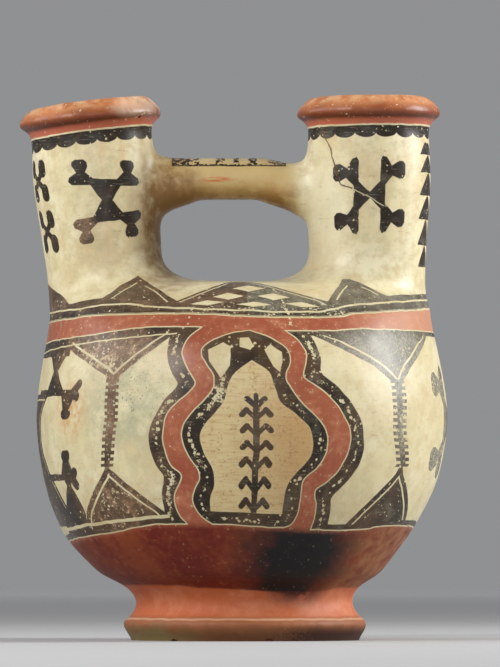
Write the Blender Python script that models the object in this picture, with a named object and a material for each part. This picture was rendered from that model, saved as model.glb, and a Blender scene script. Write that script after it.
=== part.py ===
"""A hand-built clay pot: one round belly, two open spouts and a bridge handle between them.

The whole pot is one fired piece. It is built the way a potter joins it: the belly, the spouts and
the bridge are shaped apart, pressed together, smoothed over at the joints with a wet sponge, and
hollowed out. Units are metres, +Z is up, the painted front faces -Y, and the origin lies on the
table, plumb below the middle of the bridge.
"""

from math import cos, pi, radians, sin, tau

import bmesh
import bpy
import numpy as np
from mathutils import Matrix, Vector

# Belly and foot
SOLE_RADIUS = 0.0620
FOOT_RADIUS = 0.0668
FOOT_EDGE_Z = 0.0098
LEDGE_Z = 0.0128
WAIST_RADIUS = 0.0588
WAIST_Z = 0.0205
BELLY_RADIUS = 0.1126
BELLY_RISE = 0.0995
BELLY_Z = WAIST_Z + BELLY_RISE
SHOULDER_RADIUS = 0.1040
SHOULDER_RISE = 0.0650
SHOULDER_Z = BELLY_Z + SHOULDER_RISE
CREST_RISE = 0.0116
CREST_Z = SHOULDER_Z + CREST_RISE
# The belly was raised by eye, so its middle wanders sideways on the way up: (height, shift in X)
BELLY_SWAY = (
    (0.0, 0.0074),
    (WAIST_Z, 0.0068),
    (WAIST_Z + 0.32 * BELLY_RISE, 0.0027),
    (WAIST_Z + 0.46 * BELLY_RISE, 0.0034),
    (WAIST_Z + 0.65 * BELLY_RISE, 0.0048),
    (BELLY_Z + 0.15 * SHOULDER_RISE, 0.0056),
    (CREST_Z, 0.0044),
)
# Shares of the rise and of the widening, from the waist out to the belly
UNDERBODY = (
    (0.050, 0.032),
    (0.092, 0.105),
    (0.160, 0.322),
    (0.257, 0.494),
    (0.389, 0.676),
    (0.564, 0.838),
    (0.750, 0.942),
)
# The same, from the belly in to the shoulder
UPPER_BODY = ((0.338, 0.22), (0.615, 0.60), (0.815, 0.885))
# How squarely the shoulder turns over into the crest, seen from the side and from the front
SIDE_TURN = 2.6
FRONT_TURN = 12.0

# Spouts: each has a straight axis from its root, inside the belly, to the middle of its mouth,
# and the mouth's right-hand side stands up by its tilt
SPOUT_ROOT_DEPTH = 0.0316
SPOUT_ROOT_Z = CREST_Z - SPOUT_ROOT_DEPTH
LEFT_ROOT_X = -0.0664
LEFT_MOUTH_X = -0.0789
LEFT_SPOUT_HEIGHT = 0.0979
LEFT_MOUTH_Z = CREST_Z + LEFT_SPOUT_HEIGHT
LEFT_MOUTH_TILT = radians(7.2)
RIGHT_ROOT_X = 0.0742
RIGHT_MOUTH_X = 0.0752
RIGHT_SPOUT_HEIGHT = 0.1009
RIGHT_MOUTH_Z = CREST_Z + RIGHT_SPOUT_HEIGHT
RIGHT_MOUTH_TILT = radians(0.8)
SPOUT_ROOT_RADIUS = 0.0320
SPOUT_NECK_RADIUS = 0.0333
# The neck swells a little where the bridge is pressed on
SPOUT_SWELL = 0.0009
LIP_RADIUS = 0.0396
LIP_DROP = 0.0082
COLLAR_DROP = 0.0165
# The rolled lip in section, as shares of the roll's overhang: above its widest ring, from the crest
# down, and below it, down to the collar
ROLL_ABOVE = ((0.0, 1.35), (0.10, 0.72), (0.45, 0.26), (1.0, 0.0))
ROLL_BELOW = ((0.36, 0.24), (0.62, 0.64), (1.0, 1.0))
# How much the mouth widens towards its edge: (depth below the crest, extra radius)
MOUTH_FLARE = ((0.0, 0.0024), (0.0015, 0.0009), (0.0040, 0.0))
# The clay drawn up round the foot of each spout, towards the middle of the pot
GUSSET_LENGTH = 0.0230
GUSSET_HEIGHT = 0.0140
GUSSET_SPREAD = 0.22

# Bridge handle, an oval bar from spout to spout
HAND_GAP = 0.0455
BRIDGE_HEIGHT = 0.0222
BRIDGE_Z = CREST_Z + HAND_GAP + BRIDGE_HEIGHT / 2
BRIDGE_DEPTH = 0.0280
BRIDGE_SPREAD = 0.60
# From the middle out to each spout: (share of the way, drop of the axis, share of the height)
BRIDGE_LEFT_END = (
    (0.30, 0.0004, 1.03),
    (0.56, 0.0015, 1.135),
    (0.78, 0.0029, 1.28),
    (0.90, 0.0033, 1.34),
    (0.98, 0.0038, 1.45),
)
BRIDGE_RIGHT_END = (
    (0.20, 0.0004, 1.03),
    (0.48, 0.0018, 1.11),
    (0.68, 0.0040, 1.16),
    (0.88, 0.0058, 1.24),
    (0.96, 0.0066, 1.36),
)

# Clay thickness
WALL = 0.0063
SPOUT_WALL = 0.0060
FLOOR_THICKNESS = 0.0100
FOOT_RECESS_DEPTH = 0.0200
FLOOR_Z = FOOT_RECESS_DEPTH + FLOOR_THICKNESS
FLOOR_CORNER = 0.0055
RECESS_DRAFT = 0.0030
RECESS_CORNER = 0.0060
FOOT_RING_WIDTH = 0.0110

# How finely the shapes are worked
SEGMENTS = 64
BORE_SEGMENTS = 32
GUSSET_RINGS = 8
CLAY_GRAIN = 0.0020
SPONGE_STROKES = 18
SPONGE_REACH = 0.012
OUTSIDE_TRIANGLES = 6600
# Cutters run past the faces that they cut by this much
OVERCUT = 0.0040
# A dome's last ring stays this far below its crest, so that it isn't a single point
CREST_TIP = 0.0001
GRAIN_STROKES = 2

CLAY_COLOR = (0.55, 0.42, 0.24, 1.0)


def clear_scene():
    """Removes what the startup file holds."""
    for obj in list(bpy.data.objects):
        bpy.data.objects.remove(obj, do_unlink=True)


def smooth_through(points, per_span=8):
    """Points along a smooth curve through all the given ones (centripetal Catmull-Rom)."""
    given = [np.array(p, float) for p in points]
    ends = [2 * given[0] - given[1], *given, 2 * given[-1] - given[-2]]
    curve = []
    for p0, p1, p2, p3 in zip(ends, ends[1:], ends[2:], ends[3:]):
        t0 = 0.0
        t1 = t0 + np.linalg.norm(p1 - p0) ** 0.5
        t2 = t1 + np.linalg.norm(p2 - p1) ** 0.5
        t3 = t2 + np.linalg.norm(p3 - p2) ** 0.5
        for t in np.linspace(t1, t2, per_span, endpoint=False):
            a1 = (t1 - t) / (t1 - t0) * p0 + (t - t0) / (t1 - t0) * p1
            a2 = (t2 - t) / (t2 - t1) * p1 + (t - t1) / (t2 - t1) * p2
            a3 = (t3 - t) / (t3 - t2) * p2 + (t - t2) / (t3 - t2) * p3
            b1 = (t2 - t) / (t2 - t0) * a1 + (t - t0) / (t2 - t0) * a2
            b2 = (t3 - t) / (t3 - t1) * a2 + (t - t1) / (t3 - t1) * a3
            curve.append((t2 - t) / (t2 - t1) * b1 + (t - t1) / (t2 - t1) * b2)
    curve.append(given[-1])
    return np.array(curve)


def belly_outline():
    """(height, radius) of the belly and foot, from the sole up to the shoulder."""
    rise, widening = BELLY_Z - WAIST_Z, BELLY_RADIUS - WAIST_RADIUS
    climb, narrowing = SHOULDER_Z - BELLY_Z, BELLY_RADIUS - SHOULDER_RADIUS
    ledge_radius = (FOOT_RADIUS + WAIST_RADIUS) / 2
    points = [(0.0, SOLE_RADIUS), (FOOT_EDGE_Z, FOOT_RADIUS), (LEDGE_Z, ledge_radius)]
    points += [(WAIST_Z, WAIST_RADIUS)]
    points += [(WAIST_Z + up * rise, WAIST_RADIUS + out * widening) for up, out in UNDERBODY]
    points += [(BELLY_Z, BELLY_RADIUS)]
    points += [(BELLY_Z + up * climb, BELLY_RADIUS - back * narrowing) for up, back in UPPER_BODY]
    points += [(SHOULDER_Z, SHOULDER_RADIUS)]
    return smooth_through(points)


OUTLINE = belly_outline()
SWAY = smooth_through(BELLY_SWAY)


def turn_over(z, crest, squareness):
    """Falls from 1 at the belly to 0 at the crest, the later the squarer the shoulder is."""
    share = max(0.0, min(1.0, (z - BELLY_Z) / (crest - BELLY_Z)))
    return (1.0 - share**squareness) ** (1.0 / squareness)


def belly_ring(z, wall=0.0):
    """One level oval of the belly. With a wall, the oval of its inside."""
    crest = CREST_Z - wall
    outline_z = z
    if z > BELLY_Z:
        outline_z = BELLY_Z + (z - BELLY_Z) * (CREST_Z - BELLY_Z) / (crest - BELLY_Z)
    radius = np.interp(outline_z, OUTLINE[:, 0], OUTLINE[:, 1]) - wall
    half_width = radius * turn_over(z, crest, FRONT_TURN)
    half_depth = radius
    if z > BELLY_Z:
        half_depth = (BELLY_RADIUS - wall) * turn_over(z, crest, SIDE_TURN)
    middle = np.interp(z, SWAY[:, 0], SWAY[:, 1])
    return oval(Vector((middle, 0, z)), Vector((half_width, 0, 0)), Vector((0, half_depth, 0)))


def oval(middle, half_a, half_b, segments=SEGMENTS):
    """Points round an oval with the given two half axes."""
    angles = [tau * i / segments for i in range(segments)]
    return [middle + half_a * cos(t) + half_b * sin(t) for t in angles]


def loft(name, rings):
    """A closed solid through rings of equally many points, capped flat at both ends."""
    mesh = bmesh.new()
    loops = [[mesh.verts.new(point) for point in ring] for ring in rings]
    for low, high in zip(loops, loops[1:]):
        for i in range(len(low)):
            j = (i + 1) % len(low)
            mesh.faces.new((low[i], low[j], high[j], high[i]))
    mesh.faces.new(reversed(loops[0]))
    mesh.faces.new(loops[-1])
    bmesh.ops.recalc_face_normals(mesh, faces=mesh.faces)
    data = bpy.data.meshes.new(name)
    mesh.to_mesh(data)
    mesh.free()
    obj = bpy.data.objects.new(name, data)
    bpy.context.scene.collection.objects.link(obj)
    return obj


def make_belly():
    """The belly on its foot, up to the crest between the spouts."""
    # The bottom is drawn two grains below the table, and the sole is cut flat afterwards
    foot_levels, belly_levels = 14, 22
    heights = [-2 * CLAY_GRAIN, *np.linspace(0, WAIST_Z, foot_levels, endpoint=False)]
    heights += [*np.linspace(WAIST_Z, BELLY_Z, belly_levels)]
    # Closer together towards the crest, where the shoulder turns over
    top = CREST_Z - CREST_TIP
    turning = [sin(pi / 2 * i / belly_levels) for i in range(1, belly_levels + 1)]
    heights += [BELLY_Z + (top - BELLY_Z) * share for share in turning]
    return loft("belly", [belly_ring(z) for z in heights])


class Spout:
    """A spout: its straight axis, its rings, and the clay drawn up round its foot."""

    def __init__(self, root_x, mouth_x, mouth_z, tilt):
        self.mouth = Vector((mouth_x, 0, mouth_z))
        root = Vector((root_x, 0, SPOUT_ROOT_Z))
        self.length = (self.mouth - root).length
        self.up = (self.mouth - root).normalized()
        self.tilt = tilt
        self.inward = 1.0 if mouth_x < 0 else -1.0

    def drop_to(self, z):
        """How far down the axis, from the mouth, that height lies."""
        return (self.mouth.z - z) / self.up.z

    def ring(self, drop, radius, gusset=0.0, segments=SEGMENTS):
        """A ring that far down the axis: tilted like the mouth up there, level further down."""
        angle = self.tilt * max(0.0, 1.0 - drop / self.drop_to(BRIDGE_Z))
        across = Vector((cos(angle), 0, sin(angle)))
        middle = self.mouth - self.up * drop + across * (self.inward * gusset / 2)
        half_depth = radius + gusset * GUSSET_SPREAD
        return oval(middle, across * (radius + gusset / 2), Vector((0, half_depth, 0)), segments)

    def outline(self):
        """(drop below the mouth, radius) of the outside, from the lip's crest to the root."""
        roll = LIP_RADIUS - SPOUT_NECK_RADIUS
        lip = [(share * LIP_DROP, LIP_RADIUS - back * roll) for share, back in ROLL_ABOVE]
        under = COLLAR_DROP - LIP_DROP
        lip += [(LIP_DROP + share * under, LIP_RADIUS - back * roll) for share, back in ROLL_BELOW]
        swell = (self.drop_to(BRIDGE_Z), SPOUT_NECK_RADIUS + SPOUT_SWELL)
        foot = (self.drop_to(CREST_Z + GUSSET_HEIGHT), SPOUT_ROOT_RADIUS)
        return smooth_through([*lip, swell, foot, (self.length, SPOUT_ROOT_RADIUS)], per_span=6)

    def body(self, name):
        """The spout as solid clay, with its rolled lip, widening where it stands on the belly."""
        outline = self.outline()
        gusset_top = self.drop_to(CREST_Z + GUSSET_HEIGHT)
        rings = [self.ring(drop, radius) for drop, radius in outline if drop < gusset_top]
        for i in range(GUSSET_RINGS + 1):
            share = sin(pi / 2 * i / GUSSET_RINGS)
            drop = gusset_top + share * GUSSET_HEIGHT / self.up.z
            reach = GUSSET_LENGTH * (1.0 - (1.0 - share**2) ** 0.5)
            rings.append(self.ring(drop, np.interp(drop, outline[:, 0], outline[:, 1]), reach))
        rings.append(self.ring(self.length, SPOUT_ROOT_RADIUS))
        return loft(name, rings)

    def bore(self, name):
        """What is hollow in the spout, from above the lip down into the belly."""
        narrow = SPOUT_NECK_RADIUS - SPOUT_WALL
        low = SPOUT_ROOT_RADIUS - SPOUT_WALL
        stations = [(-OVERCUT, narrow + 2 * MOUTH_FLARE[0][1])]
        stations += [(depth, narrow + extra) for depth, extra in MOUTH_FLARE]
        stations += [(self.drop_to(BRIDGE_Z), narrow), (self.drop_to(CREST_Z), low), (self.length, low)]
        return loft(name, [self.ring(drop, radius, segments=BORE_SEGMENTS) for drop, radius in stations])

    def inner_wall(self):
        """How far from the middle of the pot the neck begins, at the height of the bridge."""
        axis_x = (self.mouth - self.up * self.drop_to(BRIDGE_Z)).x
        return abs(axis_x) - SPOUT_NECK_RADIUS - SPOUT_SWELL


def make_bridge(left, right):
    """The oval bar between the spouts. It deepens where it is pressed onto them."""
    buried = SPOUT_NECK_RADIUS / 2
    stations = [(-left.inner_wall() - buried, *BRIDGE_LEFT_END[-1][1:])]
    stations += [(-left.inner_wall() * share, sag, tall) for share, sag, tall in reversed(BRIDGE_LEFT_END)]
    stations += [(right.inner_wall() * share, sag, tall) for share, sag, tall in BRIDGE_RIGHT_END]
    stations += [(right.inner_wall() + buried, *BRIDGE_RIGHT_END[-1][1:])]
    rings = []
    for x, sag, tall in smooth_through(stations, per_span=4):
        middle = Vector((x, 0, BRIDGE_Z - sag))
        half_depth = BRIDGE_DEPTH / 2 * (1 + (tall - 1) * BRIDGE_SPREAD)
        rings.append(oval(middle, Vector((0, half_depth, 0)), Vector((0, 0, BRIDGE_HEIGHT / 2 * tall))))
    return loft("bridge", rings)


def cut_with(target, cutter):
    """Takes the cutter's shape out of the target, and keeps the cutter out of the renders."""
    cutter.hide_render = True
    cutter.display_type = "WIRE"
    modifier = target.modifiers.new("cut_" + cutter.name, "BOOLEAN")
    modifier.operation = "DIFFERENCE"
    modifier.solver = "EXACT"
    modifier.object = cutter


def apply_modifiers(obj):
    """Keeps the mesh that the modifiers make, and drops the modifiers."""
    graph = bpy.context.evaluated_depsgraph_get()
    made = bpy.data.meshes.new_from_object(obj.evaluated_get(graph))
    obj.modifiers.clear()
    obj.data = made


def press_together(name, pieces):
    """One skin of clay round pieces that overlap."""
    for piece in pieces[1:]:
        joint = pieces[0].modifiers.new("join_" + piece.name, "BOOLEAN")
        joint.operation = "UNION"
        joint.solver = "EXACT"
        joint.object = piece
    grain = pieces[0].modifiers.new("grain", "REMESH")
    grain.mode = "VOXEL"
    grain.voxel_size = CLAY_GRAIN
    apply_modifiers(pieces[0])
    for piece in pieces[1:]:
        bpy.data.objects.remove(piece, do_unlink=True)
    pieces[0].name = name
    return pieces[0]


def near_a_joint(point, spouts):
    """True where a spout grows out of the belly, and where the bridge meets a spout."""
    if CREST_Z - SPONGE_REACH < point.z < CREST_Z + GUSSET_HEIGHT:
        return True
    spout = spouts[0] if point.x < 0 else spouts[1]
    end = BRIDGE_LEFT_END[-1] if point.x < 0 else BRIDGE_RIGHT_END[-1]
    off_axis = abs(point.z - BRIDGE_Z + end[1])
    beside_bridge = off_axis < BRIDGE_HEIGHT / 2 * end[2] + SPONGE_REACH / 2
    return beside_bridge and abs(abs(point.x) - spout.inner_wall()) < SPONGE_REACH


def sponge_over(obj, spouts):
    """Rubs the joints into soft hollows, and takes the grain off the rest."""
    mesh = bmesh.new()
    mesh.from_mesh(obj.data)
    joints = [v for v in mesh.verts if near_a_joint(v.co, spouts)]
    every_way = {"use_axis_x": True, "use_axis_y": True, "use_axis_z": True}
    for _ in range(SPONGE_STROKES):
        bmesh.ops.smooth_vert(mesh, verts=joints, factor=0.5, **every_way)
    for _ in range(GRAIN_STROKES):
        bmesh.ops.smooth_vert(mesh, verts=mesh.verts, factor=0.5, **every_way)
    mesh.to_mesh(obj.data)
    mesh.free()


def thin_out(obj, triangles):
    """Brings the mesh down to about that many triangles, most of them kept where it curves."""
    now = sum(len(face.vertices) - 2 for face in obj.data.polygons)
    fewer = obj.modifiers.new("fewer", "DECIMATE")
    fewer.ratio = min(1.0, triangles / now)
    fewer.use_collapse_triangulate = True
    apply_modifiers(obj)


def make_belly_hollow():
    """The hollow of the belly, one wall inside the outline and above a flat floor."""
    top = CREST_Z - WALL - CREST_TIP
    levels = 9
    heights = [FLOOR_Z, *np.linspace(FLOOR_Z + FLOOR_CORNER, BELLY_Z, levels)]
    heights += [BELLY_Z + (top - BELLY_Z) * sin(pi / 2 * i / levels) for i in range(1, levels + 1)]
    rings = [belly_ring(z, WALL)[:: SEGMENTS // BORE_SEGMENTS] for z in heights]
    # The lowest ring is drawn in, so that the floor meets the wall in a slanted corner
    floor_middle = sum(rings[0], Vector()) / len(rings[0])
    rings[0] = [point - (point - floor_middle).normalized() * FLOOR_CORNER for point in rings[0]]
    return loft("belly_hollow", rings)


def make_table_cut():
    """Takes away everything below the table, so that the sole is flat."""
    bpy.ops.mesh.primitive_cube_add(size=1.0)
    block = bpy.context.object
    block.name = "table_cut"
    # Wider than the whole pot, and deep enough to stand clear of the sole
    side, depth = 4 * BELLY_RADIUS, BELLY_RADIUS
    place = Matrix.Translation((0, 0, -depth / 2))
    block.data.transform(place @ Matrix.Diagonal((side, side, depth, 1)))
    return block


def make_foot_recess():
    """The hollow under the foot, which leaves a ring to stand on."""
    middle = np.interp(0.0, SWAY[:, 0], SWAY[:, 1])
    wide = SOLE_RADIUS - FOOT_RING_WIDTH
    stations = [(-OVERCUT, wide), (0.0, wide), (FOOT_RECESS_DEPTH - RECESS_CORNER, wide - RECESS_DRAFT)]
    stations += [(FOOT_RECESS_DEPTH, wide - RECESS_DRAFT - RECESS_CORNER)]
    rings = []
    for z, radius in stations:
        half_width, half_depth = Vector((radius, 0, 0)), Vector((0, radius, 0))
        rings.append(oval(Vector((middle, 0, z)), half_width, half_depth, BORE_SEGMENTS))
    return loft("foot_recess", rings)


def fired_clay():
    """Cream slip over clay."""
    material = bpy.data.materials.new("fired_clay")
    material.use_nodes = True
    shader = material.node_tree.nodes["Principled BSDF"]
    shader.inputs["Base Color"].default_value = CLAY_COLOR
    shader.inputs["Roughness"].default_value = 0.45
    shader.inputs["Metallic"].default_value = 0.0
    return material


def build():
    clear_scene()
    left = Spout(LEFT_ROOT_X, LEFT_MOUTH_X, LEFT_MOUTH_Z, LEFT_MOUTH_TILT)
    right = Spout(RIGHT_ROOT_X, RIGHT_MOUTH_X, RIGHT_MOUTH_Z, RIGHT_MOUTH_TILT)
    pieces = [make_belly(), left.body("left_spout"), right.body("right_spout"), make_bridge(left, right)]
    pot = press_together("double_spouted_pot", pieces)
    sponge_over(pot, (left, right))
    thin_out(pot, OUTSIDE_TRIANGLES)
    cut_with(pot, make_table_cut())
    cut_with(pot, make_belly_hollow())
    cut_with(pot, left.bore("left_bore"))
    cut_with(pot, right.bore("right_bore"))
    cut_with(pot, make_foot_recess())
    pot.data.materials.clear()
    pot.data.materials.append(fired_clay())
    pot.data.shade_smooth()
    pot.data.set_sharp_from_angle(angle=radians(40))


build()
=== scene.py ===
# %% [markdown]
# # A painted clay pot with two spouts
# The real object is one piece of fired clay: a round belly on a low foot, two open spouts, and a
# bridge between them to carry it by. A cream slip covers it, and the pattern is painted in red and
# black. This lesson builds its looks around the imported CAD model: first the clay, then the paint.

from math import cos, hypot, pi, radians, sin, tau
from random import Random

import bmesh
import bpy
import numpy as np
from mathutils import Matrix, Vector


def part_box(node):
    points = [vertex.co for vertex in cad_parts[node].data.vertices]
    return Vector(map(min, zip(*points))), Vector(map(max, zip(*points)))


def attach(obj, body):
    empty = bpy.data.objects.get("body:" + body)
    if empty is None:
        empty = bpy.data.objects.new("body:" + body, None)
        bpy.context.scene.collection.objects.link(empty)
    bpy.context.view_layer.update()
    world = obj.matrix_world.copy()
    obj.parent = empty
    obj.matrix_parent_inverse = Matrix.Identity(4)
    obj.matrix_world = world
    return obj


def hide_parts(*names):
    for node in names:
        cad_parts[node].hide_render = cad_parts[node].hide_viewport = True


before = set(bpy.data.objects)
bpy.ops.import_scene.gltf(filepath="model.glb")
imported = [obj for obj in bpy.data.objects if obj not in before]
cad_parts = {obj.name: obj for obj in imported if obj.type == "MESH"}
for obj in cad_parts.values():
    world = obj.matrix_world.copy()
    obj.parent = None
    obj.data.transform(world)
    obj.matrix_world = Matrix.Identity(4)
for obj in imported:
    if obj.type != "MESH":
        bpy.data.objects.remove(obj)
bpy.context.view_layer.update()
POT_NODE = "double_spouted_pot"
pot_low, pot_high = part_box(POT_NODE)
MM = 0.001
print("CAD box in mm:", [round(v / MM, 1) for v in (*pot_low, *pot_high)])

# %% [markdown]
# ## The sizes of the pot
# A voxel remesh of the CAD solid would copy its facets, and they would show in the gloss of the
# slip. So the clay is drawn again from the same sizes, only with finer rings. All sizes are in
# metres, +Z is up and the painted front faces -Y.

# %% Sizes of the belly and the foot
SOLE_RADIUS, FOOT_RADIUS, WAIST_RADIUS = 0.0620, 0.0668, 0.0588
BELLY_RADIUS, SHOULDER_RADIUS = 0.1126, 0.1040
FOOT_EDGE_Z, LEDGE_Z, WAIST_Z = 0.0098, 0.0128, 0.0205
BELLY_Z = WAIST_Z + 0.0995
SHOULDER_Z = BELLY_Z + 0.0650
CREST_Z = SHOULDER_Z + 0.0116
# The middle of the belly wanders sideways on the way up: (height, shift in X)
BELLY_SWAY = (
    (0.0, 0.0074),
    (WAIST_Z, 0.0068),
    (0.05234, 0.0027),
    (0.06627, 0.0034),
    (0.085175, 0.0048),
    (0.12975, 0.0056),
    (CREST_Z, 0.0044),
)
# Shares of the rise and of the widening, from the waist out to the belly
UNDERBODY = (
    (0.050, 0.032),
    (0.092, 0.105),
    (0.160, 0.322),
    (0.257, 0.494),
    (0.389, 0.676),
    (0.564, 0.838),
    (0.750, 0.942),
)
# The same, from the belly in to the shoulder
UPPER_BODY = ((0.338, 0.22), (0.615, 0.60), (0.815, 0.885))
# How squarely the shoulder turns over into the crest, seen from the side and from the front
SIDE_TURN, FRONT_TURN = 2.6, 12.0

# %% Sizes of the spouts and the bridge
SPOUT_ROOT_Z = CREST_Z - 0.0316
LEFT_ROOT = Vector((-0.0664, 0, SPOUT_ROOT_Z))
LEFT_MOUTH = Vector((-0.0789, 0, CREST_Z + 0.0979))
LEFT_MOUTH_TILT = radians(7.2)
RIGHT_ROOT = Vector((0.0742, 0, SPOUT_ROOT_Z))
RIGHT_MOUTH = Vector((0.0752, 0, CREST_Z + 0.1009))
RIGHT_MOUTH_TILT = radians(0.8)
SPOUT_ROOT_RADIUS, SPOUT_NECK_RADIUS, SPOUT_SWELL = 0.0320, 0.0333, 0.0009
LIP_RADIUS, LIP_DROP, COLLAR_DROP = 0.0396, 0.0094, 0.0165
# The rolled lip in section, as shares of its overhang: above its widest ring and below it
ROLL_ABOVE = ((0.0, 1.50), (0.06, 1.16), (0.34, 0.66), (0.68, 0.22), (1.0, 0.0))
ROLL_BELOW = ((0.24, 0.16), (0.40, 0.52), (0.52, 0.76), (0.66, 0.84), (1.0, 1.0))
# The clay drawn up round the foot of each spout
GUSSET_LENGTH, GUSSET_HEIGHT, GUSSET_SPREAD = 0.0230, 0.0140, 0.22
BRIDGE_HEIGHT, BRIDGE_DEPTH, BRIDGE_SPREAD = 0.0222, 0.0280, 0.60
BRIDGE_Z = CREST_Z + 0.0455 + BRIDGE_HEIGHT / 2
# From the middle out to each spout: (share of the way, drop of the axis, share of the height)
BRIDGE_LEFT_END = (
    (0.30, 0.0004, 1.03),
    (0.56, 0.0015, 1.135),
    (0.78, 0.0029, 1.28),
    (0.90, 0.0033, 1.34),
    (0.98, 0.0038, 1.45),
)
BRIDGE_RIGHT_END = (
    (0.20, 0.0004, 1.03),
    (0.48, 0.0018, 1.11),
    (0.68, 0.0040, 1.16),
    (0.88, 0.0058, 1.24),
    (0.96, 0.0066, 1.36),
)
WALL, SPOUT_WALL, FLOOR_Z, FLOOR_CORNER = 0.0063, 0.0060, 0.0300, 0.0055
RECESS_DEPTH, RECESS_DRAFT, RECESS_CORNER, FOOT_RING = 0.0200, 0.0030, 0.0060, 0.0110

# %% [markdown]
# ## Curves and rings
# A potter judges a profile by a few points: the waist, the widest place, the shoulder. The same
# few points are joined here by a smooth curve, and a loft joins level rings into a closed solid.

# %% A smooth curve, an oval and a loft
def smooth_through(points, per_span=10):
    """Points along a smooth curve through all the given ones (centripetal Catmull-Rom)."""
    given = [np.array(p, float) for p in points]
    ends = [2 * given[0] - given[1], *given, 2 * given[-1] - given[-2]]
    curve = []
    for p0, p1, p2, p3 in zip(ends, ends[1:], ends[2:], ends[3:]):
        t0 = 0.0
        t1 = t0 + np.linalg.norm(p1 - p0) ** 0.5
        t2 = t1 + np.linalg.norm(p2 - p1) ** 0.5
        t3 = t2 + np.linalg.norm(p3 - p2) ** 0.5
        for t in np.linspace(t1, t2, per_span, endpoint=False):
            a1 = (t1 - t) / (t1 - t0) * p0 + (t - t0) / (t1 - t0) * p1
            a2 = (t2 - t) / (t2 - t1) * p1 + (t - t1) / (t2 - t1) * p2
            a3 = (t3 - t) / (t3 - t2) * p2 + (t - t2) / (t3 - t2) * p3
            b1 = (t2 - t) / (t2 - t0) * a1 + (t - t0) / (t2 - t0) * a2
            b2 = (t3 - t) / (t3 - t1) * a2 + (t - t1) / (t3 - t1) * a3
            curve.append((t2 - t) / (t2 - t1) * b1 + (t - t1) / (t2 - t1) * b2)
    curve.append(given[-1])
    return np.array(curve)


def oval(middle, half_a, half_b, segments):
    """Points round an oval with the given two half axes."""
    angles = [tau * i / segments for i in range(segments)]
    return [middle + half_a * cos(t) + half_b * sin(t) for t in angles]


def loft(name, rings):
    """A closed solid through rings of equally many points, capped flat at both ends."""
    mesh = bmesh.new()
    loops = [[mesh.verts.new(point) for point in ring] for ring in rings]
    for low, high in zip(loops, loops[1:]):
        for i in range(len(low)):
            j = (i + 1) % len(low)
            mesh.faces.new((low[i], low[j], high[j], high[i]))
    mesh.faces.new(reversed(loops[0]))
    mesh.faces.new(loops[-1])
    bmesh.ops.recalc_face_normals(mesh, faces=mesh.faces)
    data = bpy.data.meshes.new(name)
    mesh.to_mesh(data)
    mesh.free()
    obj = bpy.data.objects.new(name, data)
    bpy.context.scene.collection.objects.link(obj)
    return obj


# %% The outline of the belly
def belly_outline():
    """(height, radius) of the belly and foot, from the sole up to the shoulder."""
    rise, widening = BELLY_Z - WAIST_Z, BELLY_RADIUS - WAIST_RADIUS
    climb, narrowing = SHOULDER_Z - BELLY_Z, BELLY_RADIUS - SHOULDER_RADIUS
    points = [(0.0, SOLE_RADIUS), (FOOT_EDGE_Z, FOOT_RADIUS)]
    points += [(LEDGE_Z, (FOOT_RADIUS + WAIST_RADIUS) / 2), (WAIST_Z, WAIST_RADIUS)]
    points += [(WAIST_Z + up * rise, WAIST_RADIUS + out * widening) for up, out in UNDERBODY]
    points += [(BELLY_Z, BELLY_RADIUS)]
    points += [(BELLY_Z + up * climb, BELLY_RADIUS - back * narrowing) for up, back in UPPER_BODY]
    return smooth_through([*points, (SHOULDER_Z, SHOULDER_RADIUS)])


OUTLINE = belly_outline()
SWAY = smooth_through(BELLY_SWAY)
BELLY_SEGMENTS = 144


def turn_over(z, crest, squareness):
    """Falls from 1 at the belly to 0 at the crest, the later the squarer the shoulder is."""
    share = max(0.0, min(1.0, (z - BELLY_Z) / (crest - BELLY_Z)))
    return (1.0 - share**squareness) ** (1.0 / squareness)


def belly_ring(z, wall=0.0, segments=BELLY_SEGMENTS):
    """One level oval of the belly. With a wall, the oval of its inside."""
    crest = CREST_Z - wall
    outline_z = z
    if z > BELLY_Z:
        outline_z = BELLY_Z + (z - BELLY_Z) * (CREST_Z - BELLY_Z) / (crest - BELLY_Z)
    radius = np.interp(outline_z, OUTLINE[:, 0], OUTLINE[:, 1]) - wall
    half_depth = radius
    if z > BELLY_Z:
        half_depth = (BELLY_RADIUS - wall) * turn_over(z, crest, SIDE_TURN)
    half_width = Vector((radius * turn_over(z, crest, FRONT_TURN), 0, 0))
    middle = Vector((np.interp(z, SWAY[:, 0], SWAY[:, 1]), 0, z))
    return oval(middle, half_width, Vector((0, half_depth, 0)), segments)


print("belly outline:", len(OUTLINE), "points, widest", round(OUTLINE[:, 1].max() / MM, 1), "mm")

# %% The belly
VOXEL = 0.0019
CREST_TIP = 0.0001
BELLY_LEVELS = 48


def turning_heights(top, levels):
    """Heights from the belly up to the top, closer together where the shoulder turns over."""
    return [BELLY_Z + (top - BELLY_Z) * sin(pi / 2 * i / levels) for i in range(1, levels + 1)]


def make_belly():
    """The belly on its foot, up to the crest between the spouts."""
    heights = [-2 * VOXEL, *np.linspace(0, WAIST_Z, BELLY_LEVELS // 2, endpoint=False)]
    heights += [*np.linspace(WAIST_Z, BELLY_Z, BELLY_LEVELS)]
    heights += turning_heights(CREST_Z - CREST_TIP, BELLY_LEVELS)
    return loft("belly", [belly_ring(z) for z in heights])


belly = make_belly()
print("belly:", len(belly.data.polygons), "faces")

# %% [markdown]
# ## The spouts, with Geometry Nodes
# Both spouts follow one rule: a round wall on a straight axis, whose radius depends on the way down
# from the mouth, and whose mouth leans by its own angle. That is a job for Geometry Nodes: one tree
# with named inputs makes both. Two curves hold the profile of the wall and the clay that is drawn up
# round its foot. The tree only needs a mesh cylinder of many rings, and moves each ring into place.

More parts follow.
